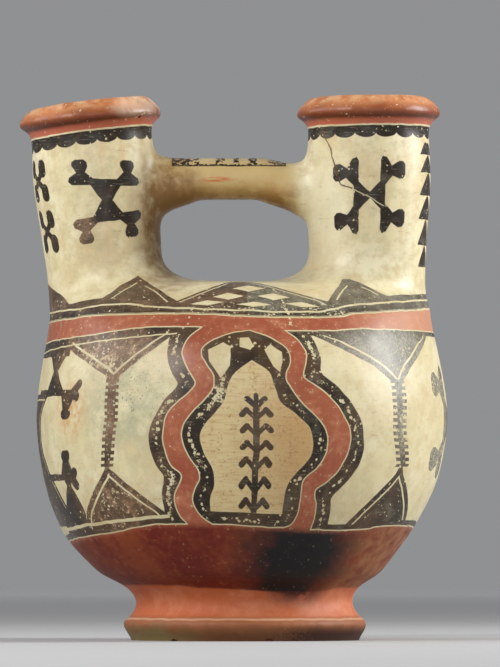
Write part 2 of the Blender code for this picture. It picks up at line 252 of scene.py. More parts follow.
# %% A small kit for node trees
def place(tree, kind, settings=None, sockets=None):
    """Adds one node: its settings first, then the value or link of each named socket."""
    node = tree.nodes.new(kind)
    for name, value in (settings or {}).items():
        if name == "curve":
            draw_curve(node.mapping, *value)
        else:
            setattr(node, name, value)
    for name, value in (sockets or {}).items():
        value = getattr(value, "socket", value)
        if isinstance(value, bpy.types.NodeSocket):
            tree.links.new(value, node.inputs[name])
        else:
            node.inputs[name].default_value = value
    return node


def draw_curve(mapping, points, handle):
    """Puts a float curve through the given points, without clipping it."""
    mapping.use_clip = False
    curve = mapping.curves[0]
    for spot in points[1:-1]:
        curve.points.new(*spot)
    curve.points[0].location = points[0]
    curve.points[len(curve.points) - 1].location = points[-1]
    for point in curve.points:
        point.handle_type = handle
    mapping.update()


class Amount:
    """A number that varies over a surface. It wraps a socket, so that node maths reads as Python."""

    def __init__(self, socket):
        self.socket = socket

    def __add__(self, other):
        return math("ADD", self, other)

    def __sub__(self, other):
        return math("SUBTRACT", self, other)

    def __mul__(self, other):
        return math("MULTIPLY", self, other)

    def __truediv__(self, other):
        return math("DIVIDE", self, other)

    def __radd__(self, other):
        return math("ADD", other, self)

    def __rsub__(self, other):
        return math("SUBTRACT", other, self)

    def __rmul__(self, other):
        return math("MULTIPLY", other, self)

    def __abs__(self):
        return math("ABSOLUTE", self)

    def __neg__(self):
        return math("MULTIPLY", self, -1.0)


def math(operation, *terms, clamp=False):
    """One Math node on the given amounts and numbers; a node after it can clamp them to 0 and 1."""
    tree = next(t.socket.id_data for t in terms if isinstance(t, Amount))
    node = place(tree, "ShaderNodeMath", {"operation": operation}, dict(enumerate(terms)))
    if clamp:
        node = place(tree, "ShaderNodeClamp", {}, {"Value": node.outputs[0]})
    return Amount(node.outputs[0])


def least(*amounts):
    """The smallest of some amounts."""
    kept = amounts[0]
    for other in amounts[1:]:
        kept = math("MINIMUM", kept, other)
    return kept


def most(*amounts):
    """The largest of some amounts."""
    kept = amounts[0]
    for other in amounts[1:]:
        kept = math("MAXIMUM", kept, other)
    return kept


def held(amount):
    """An amount held between 0 and 1."""
    return math("ADD", amount, 0.0, clamp=True)


def split(tree, vector):
    """The three parts of a vector, as amounts."""
    parts = place(tree, "ShaderNodeSeparateXYZ", {}, {0: vector}).outputs
    return [Amount(part) for part in parts]


def join(tree, x=0.0, y=0.0, z=0.0):
    """A vector from its three parts."""
    return place(tree, "ShaderNodeCombineXYZ", {}, {"X": x, "Y": y, "Z": z}).outputs[0]


# %% The profile of a spout
SPOUT_SEGMENTS, SPOUT_RINGS = 144, 150
# How far below the mouth the curve of the profile ends
CURVE_REACH = 0.140
# The power by which the rings lie closer together at the lip
RING_SPACING = 1.6
GUSSET_POINTS = 12


def spout_profile():
    """(drop below the mouth, radius) of the outside, from the lip's crest to the root."""
    roll = LIP_RADIUS - SPOUT_NECK_RADIUS
    lip = [(share * LIP_DROP, LIP_RADIUS - back * roll) for share, back in ROLL_ABOVE]
    under = COLLAR_DROP - LIP_DROP
    lip += [(LIP_DROP + share * under, LIP_RADIUS - back * roll) for share, back in ROLL_BELOW]
    swell = (RIGHT_MOUTH.z - BRIDGE_Z, SPOUT_NECK_RADIUS + SPOUT_SWELL)
    foot = (RIGHT_MOUTH.z - CREST_Z - GUSSET_HEIGHT, SPOUT_ROOT_RADIUS)
    return smooth_through([*lip, swell, foot, (CURVE_REACH, SPOUT_ROOT_RADIUS)], per_span=3)


def gusset_profile():
    """(share of the height, share of the length) of the gusset, which grows as a quarter circle."""
    shares = np.sin(np.linspace(0, pi / 2, GUSSET_POINTS))
    return [(share, 1.0 - (1.0 - share**2) ** 0.5) for share in shares]


def by_root(points, reach):
    """The same points by the root of the drop, so that the lip gets most of the curve."""
    return [((drop / reach) ** (1 / RING_SPACING), value) for drop, value in points]


profile_points = by_root(spout_profile(), CURVE_REACH)
print("spout profile:", len(profile_points), "points")

# %% The tree that makes a spout
SPOUT_INPUTS = (
    ("Root", "NodeSocketVector"),
    ("Mouth", "NodeSocketVector"),
    ("Mouth tilt", "NodeSocketFloat"),
    ("Inward", "NodeSocketFloat"),
    ("Bridge height", "NodeSocketFloat"),
    ("Gusset length", "NodeSocketFloat"),
)


def new_tree(name, inputs):
    """An empty Geometry Nodes tree with its named inputs, and the two ends of its thread."""
    tree = bpy.data.node_groups.new(name, "GeometryNodeTree")
    tree.interface.new_socket("Geometry", in_out="INPUT", socket_type="NodeSocketGeometry")
    for label, kind in inputs:
        tree.interface.new_socket(label, in_out="INPUT", socket_type=kind)
    tree.interface.new_socket("Geometry", in_out="OUTPUT", socket_type="NodeSocketGeometry")
    return tree, place(tree, "NodeGroupInput"), place(tree, "NodeGroupOutput")


def finish_tree(tree, end, geometry, material):
    """Ends a tree in Realize Instances and Set Material."""
    real = place(tree, "GeometryNodeRealizeInstances", {}, {"Geometry": geometry})
    sockets = {"Geometry": real.outputs[0], "Material": material}
    dressed = place(tree, "GeometryNodeSetMaterial", {}, sockets)
    tree.links.new(dressed.outputs[0], end.inputs[0])


def vector_math(tree, operation, *terms, scale=None):
    """One Vector Math node; its result is a vector, or an Amount for a length or a dot product."""
    sockets = dict(enumerate(terms))
    if scale is not None:
        sockets["Scale"] = scale
    node = place(tree, "ShaderNodeVectorMath", {"operation": operation}, sockets)
    if operation in ("LENGTH", "DOT_PRODUCT"):
        return Amount(node.outputs["Value"])
    return node.outputs["Vector"]


def read_curve(amount, points, handle="AUTO"):
    """The height of a hand-drawn curve above that amount."""
    tree = amount.socket.id_data
    node = place(tree, "ShaderNodeFloatCurve", {"curve": (points, handle)}, {"Value": amount})
    return Amount(node.outputs[0])


def spout_tree(material):
    """A round wall on a leaning axis, from a mesh cylinder whose rings are moved into place."""
    tree, start, end = new_tree("thrown_spout", SPOUT_INPUTS)
    given = start.outputs
    rings = {"Vertices": SPOUT_SEGMENTS, "Side Segments": SPOUT_RINGS, "Radius": 1.0, "Depth": 1.0}
    tube = place(tree, "GeometryNodeMeshCylinder", {"fill_type": "NGON"}, rings)
    position = place(tree, "GeometryNodeInputPosition").outputs[0]
    round_x, round_y, upright = split(tree, position)
    # The share of the way down, 0 at the mouth: rings lie closer together up there
    way = math("SUBTRACT", 0.5, upright, clamp=True)
    axis = vector_math(tree, "SUBTRACT", given["Mouth"], given["Root"])
    length = vector_math(tree, "LENGTH", axis)
    up = vector_math(tree, "NORMALIZE", axis)
    drop = math("POWER", way, RING_SPACING) * length
    up_z = split(tree, up)[2]
    mouth_z = split(tree, given["Mouth"])[2]
    to_bridge = (mouth_z - Amount(given["Bridge height"])) / up_z
    gusset_top = (mouth_z - (CREST_Z + GUSSET_HEIGHT)) / up_z
    radius = read_curve(math("POWER", drop / CURVE_REACH, 1 / RING_SPACING), profile_points)
    share = (drop - gusset_top) / GUSSET_HEIGHT
    growth = read_curve(held(share), gusset_profile(), "VECTOR")
    # Below the crest, inside the belly, the gusset fades out again
    fade = math("SUBTRACT", 2.0, share, clamp=True)
    gusset = growth * fade * Amount(given["Gusset length"])
    angle = Amount(given["Mouth tilt"]) * math("SUBTRACT", 1.0, drop / to_bridge, clamp=True)
    across = join(tree, x=math("COSINE", angle), z=math("SINE", angle))
    # The gusset has its full length on the side of the bridge, and none on the other
    sideways = (radius + gusset * 0.5) * round_x + gusset * 0.5 * Amount(given["Inward"])
    deep = (radius + gusset * GUSSET_SPREAD) * round_y
    down = vector_math(tree, "SCALE", up, scale=-drop)
    place_on_axis = vector_math(tree, "ADD", given["Mouth"], down)
    out = vector_math(tree, "SCALE", across, scale=sideways)
    depth_part = join(tree, y=deep)
    where = vector_math(tree, "ADD", vector_math(tree, "ADD", place_on_axis, out), depth_part)
    sockets = {"Geometry": tube.outputs["Mesh"], "Position": where}
    moved = place(tree, "GeometryNodeSetPosition", {}, sockets)
    finish_tree(tree, end, moved.outputs[0], material)
    return tree


# %% Two spouts from one tree
def plain_mesh(obj):
    """Keeps the mesh that the modifiers make, and drops the modifiers."""
    graph = bpy.context.evaluated_depsgraph_get()
    made = bpy.data.meshes.new_from_object(obj.evaluated_get(graph))
    obj.modifiers.clear()
    obj.data = made
    return obj


def grow_from(tree, name, **values):
    """A new object whose mesh comes from the tree, with the named inputs set."""
    obj = bpy.data.objects.new(name, bpy.data.meshes.new(name))
    bpy.context.scene.collection.objects.link(obj)
    return run_tree(obj, tree, **values)


def run_tree(obj, tree, **values):
    """Runs the tree on the object, with its inputs set by their sockets' identifiers."""
    modifier = obj.modifiers.new(tree.name, "NODES")
    modifier.node_group = tree
    for item in tree.interface.items_tree:
        key = item.name.lower().replace(" ", "_")
        if item.in_out == "INPUT" and key in values:
            modifier[item.identifier] = values[key]
    return plain_mesh(obj)


raw_clay = bpy.data.materials.new("raw_clay")
thrown_spout = spout_tree(raw_clay)
spouts = []
for name, root, mouth, tilt, inward in (
    ("left_spout", LEFT_ROOT, LEFT_MOUTH, LEFT_MOUTH_TILT, 1.0),
    ("right_spout", RIGHT_ROOT, RIGHT_MOUTH, RIGHT_MOUTH_TILT, -1.0),
):
    leaning = {"root": root, "mouth": mouth, "mouth_tilt": tilt, "inward": inward}
    shared = {"bridge_height": BRIDGE_Z, "gusset_length": GUSSET_LENGTH}
    spouts.append(grow_from(thrown_spout, name, **leaning, **shared))
    print(name + ":", len(spouts[-1].data.polygons), "faces")

# %% [markdown]
# ## The bridge, and pressing it all together
# The bridge is a bar rolled by hand, thicker at both ends where the potter pressed it onto the
# spouts. The four parts overlap; an exact union joins them, a voxel remesh gives them one skin of
# even faces, and smoothing only near the joints does what a wet sponge does.

# %% The bridge
def axis_x_at(root, mouth, z):
    """Where a spout's axis is, in X, at that height."""
    return root.x + (mouth.x - root.x) * (z - root.z) / (mouth.z - root.z)


BRIDGE_SEGMENTS = 96
LEFT_INNER = abs(axis_x_at(LEFT_ROOT, LEFT_MOUTH, BRIDGE_Z)) - SPOUT_NECK_RADIUS - SPOUT_SWELL
RIGHT_INNER = abs(axis_x_at(RIGHT_ROOT, RIGHT_MOUTH, BRIDGE_Z)) - SPOUT_NECK_RADIUS - SPOUT_SWELL


def make_bridge():
    """The oval bar between the spouts."""
    buried = SPOUT_NECK_RADIUS / 2
    stations = [(-LEFT_INNER - buried, *BRIDGE_LEFT_END[-1][1:])]
    stations += [(-LEFT_INNER * share, sag, tall) for share, sag, tall in reversed(BRIDGE_LEFT_END)]
    stations += [(RIGHT_INNER * share, sag, tall) for share, sag, tall in BRIDGE_RIGHT_END]
    stations += [(RIGHT_INNER + buried, *BRIDGE_RIGHT_END[-1][1:])]
    rings = []
    for x, sag, tall in smooth_through(stations, per_span=6):
        half_depth = BRIDGE_DEPTH / 2 * (1 + (tall - 1) * BRIDGE_SPREAD)
        half_height = Vector((0, 0, BRIDGE_HEIGHT / 2 * tall))
        middle = Vector((x, 0, BRIDGE_Z - sag))
        rings.append(oval(middle, Vector((0, half_depth, 0)), half_height, BRIDGE_SEGMENTS))
    return loft("bridge", rings)


bridge = make_bridge()
clear_span = (LEFT_INNER + RIGHT_INNER) / MM
print("bridge:", len(bridge.data.polygons), "faces, clear span", round(clear_span, 1), "mm")

# %% One skin of clay
SPONGE_REACH = 0.012
SPONGE_STROKES = 26
GRAIN_STROKES = 3
SPONGE_PRESSURE = 0.5


def add_boolean(obj, other, operation):
    """Adds an exact boolean, which hands the other piece's material on to the faces that it makes."""
    joint = obj.modifiers.new(operation.lower() + "_" + other.name, "BOOLEAN")
    joint.operation = operation
    joint.solver = "EXACT"
    joint.object = other
    joint.material_mode = "TRANSFER"


def press_together(name, pieces, voxel):
    """One skin of clay round pieces that overlap."""
    for piece in pieces[1:]:
        add_boolean(pieces[0], piece, "UNION")
    grain = pieces[0].modifiers.new("grain", "REMESH")
    grain.mode = "VOXEL"
    grain.voxel_size = voxel
    plain_mesh(pieces[0])
    for piece in pieces[1:]:
        bpy.data.objects.remove(piece, do_unlink=True)
    pieces[0].name = name
    return pieces[0]


def near_a_joint(point):
    """True where a spout grows out of the belly, and where the bridge meets a spout."""
    if CREST_Z - SPONGE_REACH < point.z < CREST_Z + GUSSET_HEIGHT:
        return True
    inner, end = LEFT_INNER, BRIDGE_LEFT_END[-1]
    if point.x > 0:
        inner, end = RIGHT_INNER, BRIDGE_RIGHT_END[-1]
    off_axis = abs(point.z - BRIDGE_Z + end[1])
    beside_bridge = off_axis < BRIDGE_HEIGHT / 2 * end[2] + SPONGE_REACH / 2
    return beside_bridge and abs(abs(point.x) - inner) < SPONGE_REACH


def sponge_over(obj):
    """Rubs the joints into soft hollows, and takes the grain off the rest."""
    mesh = bmesh.new()
    mesh.from_mesh(obj.data)
    joints = [v for v in mesh.verts if near_a_joint(v.co)]
    rub = {"factor": SPONGE_PRESSURE, "use_axis_x": True, "use_axis_y": True, "use_axis_z": True}
    for _ in range(SPONGE_STROKES):
        bmesh.ops.smooth_vert(mesh, verts=joints, **rub)
    for _ in range(GRAIN_STROKES):
        bmesh.ops.smooth_vert(mesh, verts=mesh.verts, **rub)
    mesh.to_mesh(obj.data)
    mesh.free()


pot = press_together("painted_pot", [belly, *spouts, bridge], VOXEL)
sponge_over(pot)
print("outside of the pot:", len(pot.data.polygons), "faces")

# %% [markdown]
# ## The marks of the hand
# No hand-built pot is a perfect round. Its wall swells and dips by a fraction of a millimetre where
# the fingers pressed and the pebble rubbed. A second tree moves each point along its normal by two
# soft noises. The heights are named inputs, so that they can be judged against the photograph.

# %% The tree that leaves the marks of the hand
MARK_INPUTS = (
    ("Swell", "NodeSocketFloat"),
    ("Swell size", "NodeSocketFloat"),
    ("Rubbing", "NodeSocketFloat"),
    ("Rubbing size", "NodeSocketFloat"),
)
SWELL_SEED, RUBBING_SEED = 3.7, 11.3
HAND_MARKS = {"swell": 0.0006, "swell_size": 0.034, "rubbing": 0.00018, "rubbing_size": 0.011}


def soft_noise(tree, size, seed):
    """A noise between -1 and 1 that doesn't change along the surface faster than its size."""
    sockets = {"W": seed, "Scale": math("DIVIDE", 1.0, size), "Detail": 1.0}
    node = place(tree, "ShaderNodeTexNoise", {"noise_dimensions": "4D"}, sockets)
    return (Amount(node.outputs[0]) - 0.5) * 2.0


def hand_marks_tree(material):
    """Moves each point along its normal by two soft noises."""
    tree, start, end = new_tree("hand_marks", MARK_INPUTS)
    given = {name: Amount(start.outputs[name]) for name, _ in MARK_INPUTS}
    swell = soft_noise(tree, given["Swell size"], SWELL_SEED) * given["Swell"]
    rubbing = soft_noise(tree, given["Rubbing size"], RUBBING_SEED) * given["Rubbing"]
    normal = place(tree, "GeometryNodeInputNormal").outputs[0]
    offset = vector_math(tree, "SCALE", normal, scale=swell + rubbing)
    sockets = {"Geometry": start.outputs["Geometry"], "Offset": offset}
    moved = place(tree, "GeometryNodeSetPosition", {}, sockets)
    finish_tree(tree, end, moved.outputs[0], material)
    return tree


run_tree(pot, hand_marks_tree(raw_clay), **HAND_MARKS)
print("hand marks made on", len(pot.data.vertices), "points")

# %% [markdown]
# ## Hollowing it out
# The pot is a vessel: the belly is hollow above a thick floor, each spout is an open tube, and the
# foot is a ring. The cutters follow the same outline, one wall further in. They carry their own
# material, which the boolean hands on to the faces that it cuts, so the paint stays outside.

# %% The cutters
BORE_SEGMENTS = 96
HOLLOW_LEVELS = 24
OVERCUT = 0.0040
# How the mouth opens out above the bore: (drop below the mouth, added radius)
MOUTH_FLARE = ((0.0, 0.0024), (0.0008, 0.0014), (0.0018, 0.0007), (0.0040, 0.0))
bare_clay = bpy.data.materials.new("bare_fired_clay")
painted_clay = bpy.data.materials.new("painted_slip")


def make_belly_hollow():
    """The hollow of the belly, one wall inside the outline and above a flat floor."""
    heights = [FLOOR_Z, *np.linspace(FLOOR_Z + FLOOR_CORNER, BELLY_Z, HOLLOW_LEVELS)]
    heights += turning_heights(CREST_Z - WALL - CREST_TIP, HOLLOW_LEVELS)
    rings = [belly_ring(z, WALL, BORE_SEGMENTS) for z in heights]
    middle = sum(rings[0], Vector()) / len(rings[0])
    rings[0] = [point - (point - middle).normalized() * FLOOR_CORNER for point in rings[0]]
    return loft("belly_hollow", rings)


def make_bore(name, root, mouth, tilt):
    """What is hollow in a spout, from above the lip down into the belly."""
    up = (mouth - root).normalized()
    to_bridge = (mouth.z - BRIDGE_Z) / up.z
    to_crest = (mouth.z - CREST_Z) / up.z
    narrow, low = SPOUT_NECK_RADIUS - SPOUT_WALL, SPOUT_ROOT_RADIUS - SPOUT_WALL
    stations = [(-OVERCUT, narrow + 2 * MOUTH_FLARE[0][1])]
    stations += [(depth, narrow + extra) for depth, extra in MOUTH_FLARE]
    stations += [(to_bridge, narrow), (to_crest, low), ((mouth - root).length, low)]
    rings = []
    for drop, radius in stations:
        angle = tilt * max(0.0, 1.0 - drop / to_bridge)
        across = Vector((cos(angle), 0, sin(angle)))
        rings.append(oval(mouth - up * drop, across * radius, Vector((0, radius, 0)), BORE_SEGMENTS))
    return loft(name, rings)


def make_foot_recess():
    """The hollow under the foot, which leaves a ring to stand on, and all that is below the table."""
    middle = np.interp(0.0, SWAY[:, 0], SWAY[:, 1])
    wide = SOLE_RADIUS - FOOT_RING
    below = 2 * FOOT_RADIUS
    stations = [(-below / 2, below), (0.0, below), (0.0, wide)]
    stations += [(RECESS_DEPTH - RECESS_CORNER, wide - RECESS_DRAFT)]
    stations += [(RECESS_DEPTH, wide - RECESS_DRAFT - RECESS_CORNER)]
    rings = []
    for z, radius in stations:
        half_a, half_b = Vector((radius, 0, 0)), Vector((0, radius, 0))
        rings.append(oval(Vector((middle, 0, z)), half_a, half_b, BORE_SEGMENTS))
    return loft("foot_recess", rings)


# %% Cutting
def hollow_out(obj):
    """Cuts the belly, both bores and the foot recess out of the solid clay."""
    hollow = make_belly_hollow()
    bores = [
        make_bore("left_bore", LEFT_ROOT, LEFT_MOUTH, LEFT_MOUTH_TILT),
        make_bore("right_bore", RIGHT_ROOT, RIGHT_MOUTH, RIGHT_MOUTH_TILT),
    ]
    for bore in bores:
        add_boolean(hollow, bore, "UNION")
    plain_mesh(hollow)
    recess = make_foot_recess()
    for cutter in (hollow, recess):
        cutter.data.materials.clear()
        cutter.data.materials.append(bare_clay)
        add_boolean(obj, cutter, "DIFFERENCE")
    obj.data.materials.clear()
    obj.data.materials.append(painted_clay)
    plain_mesh(obj)
    for cutter in (hollow, recess, *bores):
        bpy.data.objects.remove(cutter, do_unlink=True)


hollow_out(pot)
print("hollowed out:", len(pot.data.polygons), "faces")

# %% [markdown]
# ## Nicks
# A pot that has stood and been carried for ages loses small scraps of clay where its edges meet the
# world: round the sole, on the rims and along the bridge. Each nick is a rough pebble cut out of the
# edge, and its broken face shows the bare clay.

# %% The nicks
NICK_SEED = 5
# On the rims and the bridge, in mm: (x, y, z, radius)
EDGE_NICKS = (
    (-106.5, -25.0, 290.0, 2.4), (-101.0, -29.5, 291.5, 1.3), (-51.5, -24.0, 286.0, 1.6),
    (-45.5, 12.0, 297.5, 1.8), (-88.0, 36.0, 292.0, 1.5), (38.5, -13.5, 286.5, 1.5),
    (97.0, 30.5, 296.5, 1.7), (112.5, -9.0, 293.5, 1.2), (-7.0, -14.6, 245.7, 1.0),
    (11.6, -14.8, 246.7, 0.9),
)
# Round the sole: how many, how far each strays from its even place, and the radii in mm
SOLE_NICKS, SOLE_STRAY = 11, 0.9
SOLE_NICK_SIZES = (0.9, 2.4)
PEBBLE_SHAPE, PEBBLE_ROUGHNESS = Vector((1.5, 1.0, 0.8)), (0.80, 1.15)


def make_pebble(middle, radius, dice):
    """A rough pebble: an icosphere whose points are pushed in and out."""
    mesh = bmesh.new()
    made = bmesh.ops.create_icosphere(mesh, subdivisions=2, radius=radius)
    for vert in made["verts"]:
        vert.co = PEBBLE_SHAPE * vert.co * dice.uniform(*PEBBLE_ROUGHNESS)
    turn = Matrix.Rotation(dice.uniform(0, tau), 4, "Z")
    bmesh.ops.transform(mesh, matrix=Matrix.Translation(middle) @ turn, verts=mesh.verts)
    data = bpy.data.meshes.new("pebble")
    mesh.to_mesh(data)
    mesh.free()
    data.materials.append(bare_clay)
    pebble = bpy.data.objects.new("pebble", data)
    bpy.context.scene.collection.objects.link(pebble)
    return pebble


def nick_places(dice):
    """(middle, radius) of every nick, in metres."""
    places = [(Vector((x, y, z)) * MM, radius * MM) for x, y, z, radius in EDGE_NICKS]
    middle_x = np.interp(0.0, SWAY[:, 0], SWAY[:, 1])
    for i in range(SOLE_NICKS):
        angle = tau * (i + dice.uniform(-SOLE_STRAY, SOLE_STRAY)) / SOLE_NICKS
        edge = Vector((middle_x + SOLE_RADIUS * cos(angle), SOLE_RADIUS * sin(angle), 0.0))
        places.append((edge, dice.uniform(*SOLE_NICK_SIZES) * MM))
    return places


def nick_edges(obj):
    """Cuts a pebble out of the clay at every nick."""
    dice = Random(NICK_SEED)
    pebbles = [make_pebble(middle, radius, dice) for middle, radius in nick_places(dice)]
    for pebble in pebbles:
        add_boolean(obj, pebble, "DIFFERENCE")
    plain_mesh(obj)
    for pebble in pebbles:
        bpy.data.objects.remove(pebble, do_unlink=True)
    return len(pebbles)


print("nicks:", nick_edges(pot))
bare_faces = sum(face.material_index > 0 for face in pot.data.polygons)
print("pot:", len(pot.data.polygons), "faces, of them bare clay:", bare_faces)
print("materials:", [slot.name for slot in pot.data.materials])

# %% [markdown]
# ## Charts: where a brush stroke lies
# The painter worked on a curved wall, so the pattern is laid out on charts of that wall, in
# millimetres. On the belly a chart is the way round and the height; on a spout, the way round the
# neck and the drop below the mouth; on the shoulder, the way across and the turn over the dome. Back
# and front are painted alike, so the charts fold the back onto the front. A slow noise is added to
# the place first: it gives every line the small waver of a brush held by hand.

# %% The place of a point, with the waver of the hand
painted_clay.use_nodes = True
slip_tree = painted_clay.node_tree
# The belly's radius and middle, and the height and length of a brush's waver, all in mm
CHART_RADIUS, BELLY_MIDDLE = 110.0, 5.0
WAVER, WAVER_SIZE = 1.1, 8.0


def noise_at(tree, where, size, detail=2.0, roughness=0.5):
    """A soft noise, about 0.5 on average, with features of about that size."""
    sockets = {"Vector": where, "Scale": 1.0 / size, "Detail": detail, "Roughness": roughness}
    return place(tree, "ShaderNodeTexNoise", {"noise_dimensions": "3D"}, sockets)


def noise_amount(tree, where, size, detail, roughness=0.5):
    """The same noise as an amount."""
    return Amount(noise_at(tree, where, size, detail, roughness).outputs[0])


def place_in_mm(tree):
    """The place of a point on the finished piece, in millimetres."""
    return vector_math(tree, "SCALE", place(tree, "ShaderNodeTexCoord").outputs["Object"], scale=1 / MM)


true_place = place_in_mm(slip_tree)
tremble = noise_at(slip_tree, true_place, WAVER_SIZE, 1.0).outputs["Color"]
tremble = vector_math(slip_tree, "SUBTRACT", tremble, (0.5, 0.5, 0.5))
tremble = vector_math(slip_tree, "SCALE", tremble, scale=WAVER)
brush_place = vector_math(slip_tree, "ADD", true_place, tremble)
across, deep, height = split(slip_tree, brush_place)
depth = abs(deep)
round_belly = math("ARCTAN2", across - BELLY_MIDDLE, depth) * CHART_RADIUS
belly_chart = join(slip_tree, round_belly, height, 1.0)
print("belly charted round a radius of", CHART_RADIUS, "mm")

# %% Shapes on a chart
# How soft the edge of a brushed shape is, in mm
EDGE = 0.40


def brushed(inside, edge=EDGE):
    """1 inside a shape and 0 outside it, from the distance inside, with a soft edge."""
    return math("MULTIPLY_ADD", inside, 1.0 / edge, 0.5, clamp=True)


def line_along(distance, width):
    """The distance inside a line of that width, from the distance to its middle."""
    return width / 2 - abs(distance)


def dab(chart, corners):
    """The distance inside a convex shape, given its corners in anticlockwise order."""
    sides = []
    for (x0, y0), (x1, y1) in zip(corners, [*corners[1:], corners[0]]):
        length = hypot(x1 - x0, y1 - y0)
        side = ((y0 - y1) / length, (x1 - x0) / length, (x0 * y1 - x1 * y0) / length)
        sides.append(vector_math(slip_tree, "DOT_PRODUCT", chart, side))
    return least(*sides)


def stroke(chart, start, end, width):
    """The distance inside a straight stroke with round ends."""
    to_spot = vector_math(slip_tree, "SUBTRACT", chart, (*start, 1.0))
    along = (end[0] - start[0], end[1] - start[1], 0.0)
    square = along[0] ** 2 + along[1] ** 2
    share = vector_math(slip_tree, "DOT_PRODUCT", to_spot, tuple(v / square for v in along))
    nearest = vector_math(slip_tree, "SCALE", along, scale=held(share))
    away = vector_math(slip_tree, "SUBTRACT", to_spot, nearest)
    return width / 2 - vector_math(slip_tree, "LENGTH", away)


def traced(amount, points, handle="AUTO"):
    """The value of a traced line at that amount: points are (amount, value), in rising order."""
    low, high = points[0][0], points[-1][0]
    share = math("MULTIPLY_ADD", amount, 1.0 / (high - low), -low / (high - low), clamp=True)
    return read_curve(share, [((at - low) / (high - low), value) for at, value in points], handle)


# %% [markdown]
# ## The bands round the belly
# A red band runs round the shoulder between fine cream lines, and the underbody below the pattern is
# red all over. None of the lines is level: each follows the eye of the painter, so each is a traced
# curve of its height against the way round.

# %% The lines of the bands
UPPER_LINE = (
    (-172, 179.0), (-131, 179.6), (-100, 181.7), (-90, 182.0), (-69, 180.6), (-46, 179.3),
    (6, 177.7), (38, 177.0), (59, 178.3), (82, 181.4), (103, 182.8), (172, 186.4),
)
RED_TOP = (
    (-172, 173.0), (-120, 174.4), (-83, 175.8), (-65, 175.8), (6, 174.0), (40, 173.6), (75, 176.0),
    (172, 181.0),
)
RED_BOTTOM = (
    (-172, 162.4), (-108, 164.9), (-79, 167.5), (-61, 168.9), (-45, 169.3), (-21, 168.5),
    (28, 166.9), (70, 168.2), (103, 168.6), (172, 168.5),
)
UNDERBODY_LINE = (
    (-172, 53.4), (-89, 58.4), (-62, 61.6), (-40, 62.9), (6, 61.5), (30, 60.7), (66, 59.7),
    (92, 60.8), (117, 62.3), (172, 60.5),
)
upper_line = traced(round_belly, UPPER_LINE)
red_top = traced(round_belly, RED_TOP)
red_bottom = traced(round_belly, RED_BOTTOM)
underbody_line = traced(round_belly, UNDERBODY_LINE)
above_red_bottom = height - red_bottom
above_underbody = height - underbody_line
red_band = least(above_red_bottom, red_top - height)
band_lines = (UPPER_LINE, RED_TOP, RED_BOTTOM, UNDERBODY_LINE)
print("bands traced:", sum(len(line) for line in band_lines), "points")

# %% [markdown]
# ## The keyhole in the middle of the front
# A red ribbon rises from the underbody, swells, narrows to a neck and joins the red band. Black runs
# along it outside and inside, and a cream panel with a plant fills the middle. Each edge is a curve
# of its place against the height. Where an edge lies over, the way across to it is longer than the
# true distance, so each curve has a companion that holds the cosine of its slope.

# %% The edges of the keyhole, from the bottom up: (height, place)
BLACK_OUTER = (
    ((58, -46.5), (72, -45.6), (80, -45.2), (88.2, -43), (93, -46.2), (99.4, -48.8), (108, -50),
     (114.3, -49.1), (121, -46), (129.2, -41.2), (137.8, -33.6), (143, -36.8), (149.1, -39.9),
     (158, -41.6), (170, -42)),
    ((58, 56), (67.2, 55.4), (73, 54.4), (77.1, 53.6), (84.6, 60.6), (93, 67), (101.7, 69.7),
     (110, 69.1), (120, 66.3), (129.4, 59.6), (138, 51.6), (144.3, 43.9), (153.5, 44.6), (170, 39)),
)
RED_OUTER = (
    ((58, -30), (63.4, -32.4), (67.4, -36), (73.3, -37.8), (79.7, -36.9), (85, -33.6), (89.8, -32.6),
     (94, -37.7), (101.5, -40.6), (108.5, -41.9), (113.8, -41.2), (121.2, -39.4), (127.1, -34.4),
     (131.3, -29), (136.1, -24.5), (138.8, -23.8), (142.5, -26.1), (148.8, -29.9), (155, -32.4),
     (162.6, -30), (167.4, -24.4), (170, -21)),
    ((58, 44), (67.4, 44.9), (73.3, 44.7), (77, 43), (81.3, 42.6), (86.1, 49.4), (92, 55),
     (101.1, 59.5), (110.2, 60.5), (118.2, 57.6), (127.7, 51.1), (135.2, 42.7), (140.4, 34.6),
     (142.5, 33.5), (149.6, 35.4), (155, 36.1), (160.9, 33), (166.9, 25.9), (170, 22)),
)
RED_INNER = (
    ((58, -2), (61.6, -12), (62.6, -16.8), (69.5, -25.7), (75.9, -27.9), (82.3, -25.8), (87.1, -22.9),
     (92.4, -23.7), (97.7, -27.4), (105.2, -30.9), (110.5, -31.8), (115.9, -30.6), (123.3, -25.6),
     (129.1, -19.8), (136.6, -14.6), (142, -14.7), (147.9, -18.7), (153.8, -21.9), (157.1, -21.7),
     (163, -13.7), (165.6, -5), (166.8, 5.7)),
    ((58, 20), (60.6, 26), (62.6, 31), (67.4, 34), (74.9, 34.8), (82.3, 34.7), (86.6, 35.4),
     (92.5, 42.3), (98.6, 46.4), (106.9, 47.8), (113.8, 46), (120.2, 41.3), (127.1, 33.6),
     (134.5, 27.8), (139.8, 24.7), (144.1, 24.9), (150.1, 27.5), (157.1, 26), (161.4, 20.3),
     (165.2, 11.6), (166.8, 5.8)),
)
PANEL = (
    ((69.6, -17.3), (75.4, -17.5), (83.3, -14.8), (91.1, -15), (100.9, -19.6), (109.7, -21.5),
     (114.7, -19.8), (121.6, -13.9), (129.1, -8.7), (141.9, -4.6), (150.5, 6.0)),
    ((67.9, 24.4), (74.8, 25), (83.4, 25.9), (90.3, 30.5), (99.4, 38.2), (107.4, 38.9),
     (114.3, 37), (121.7, 29.2), (128.6, 20.7), (136.6, 17.9), (144.1, 15.1), (150.5, 6.2)),
)
SLOPE_STEP, CLOSEST_POINTS = 0.8, 0.05


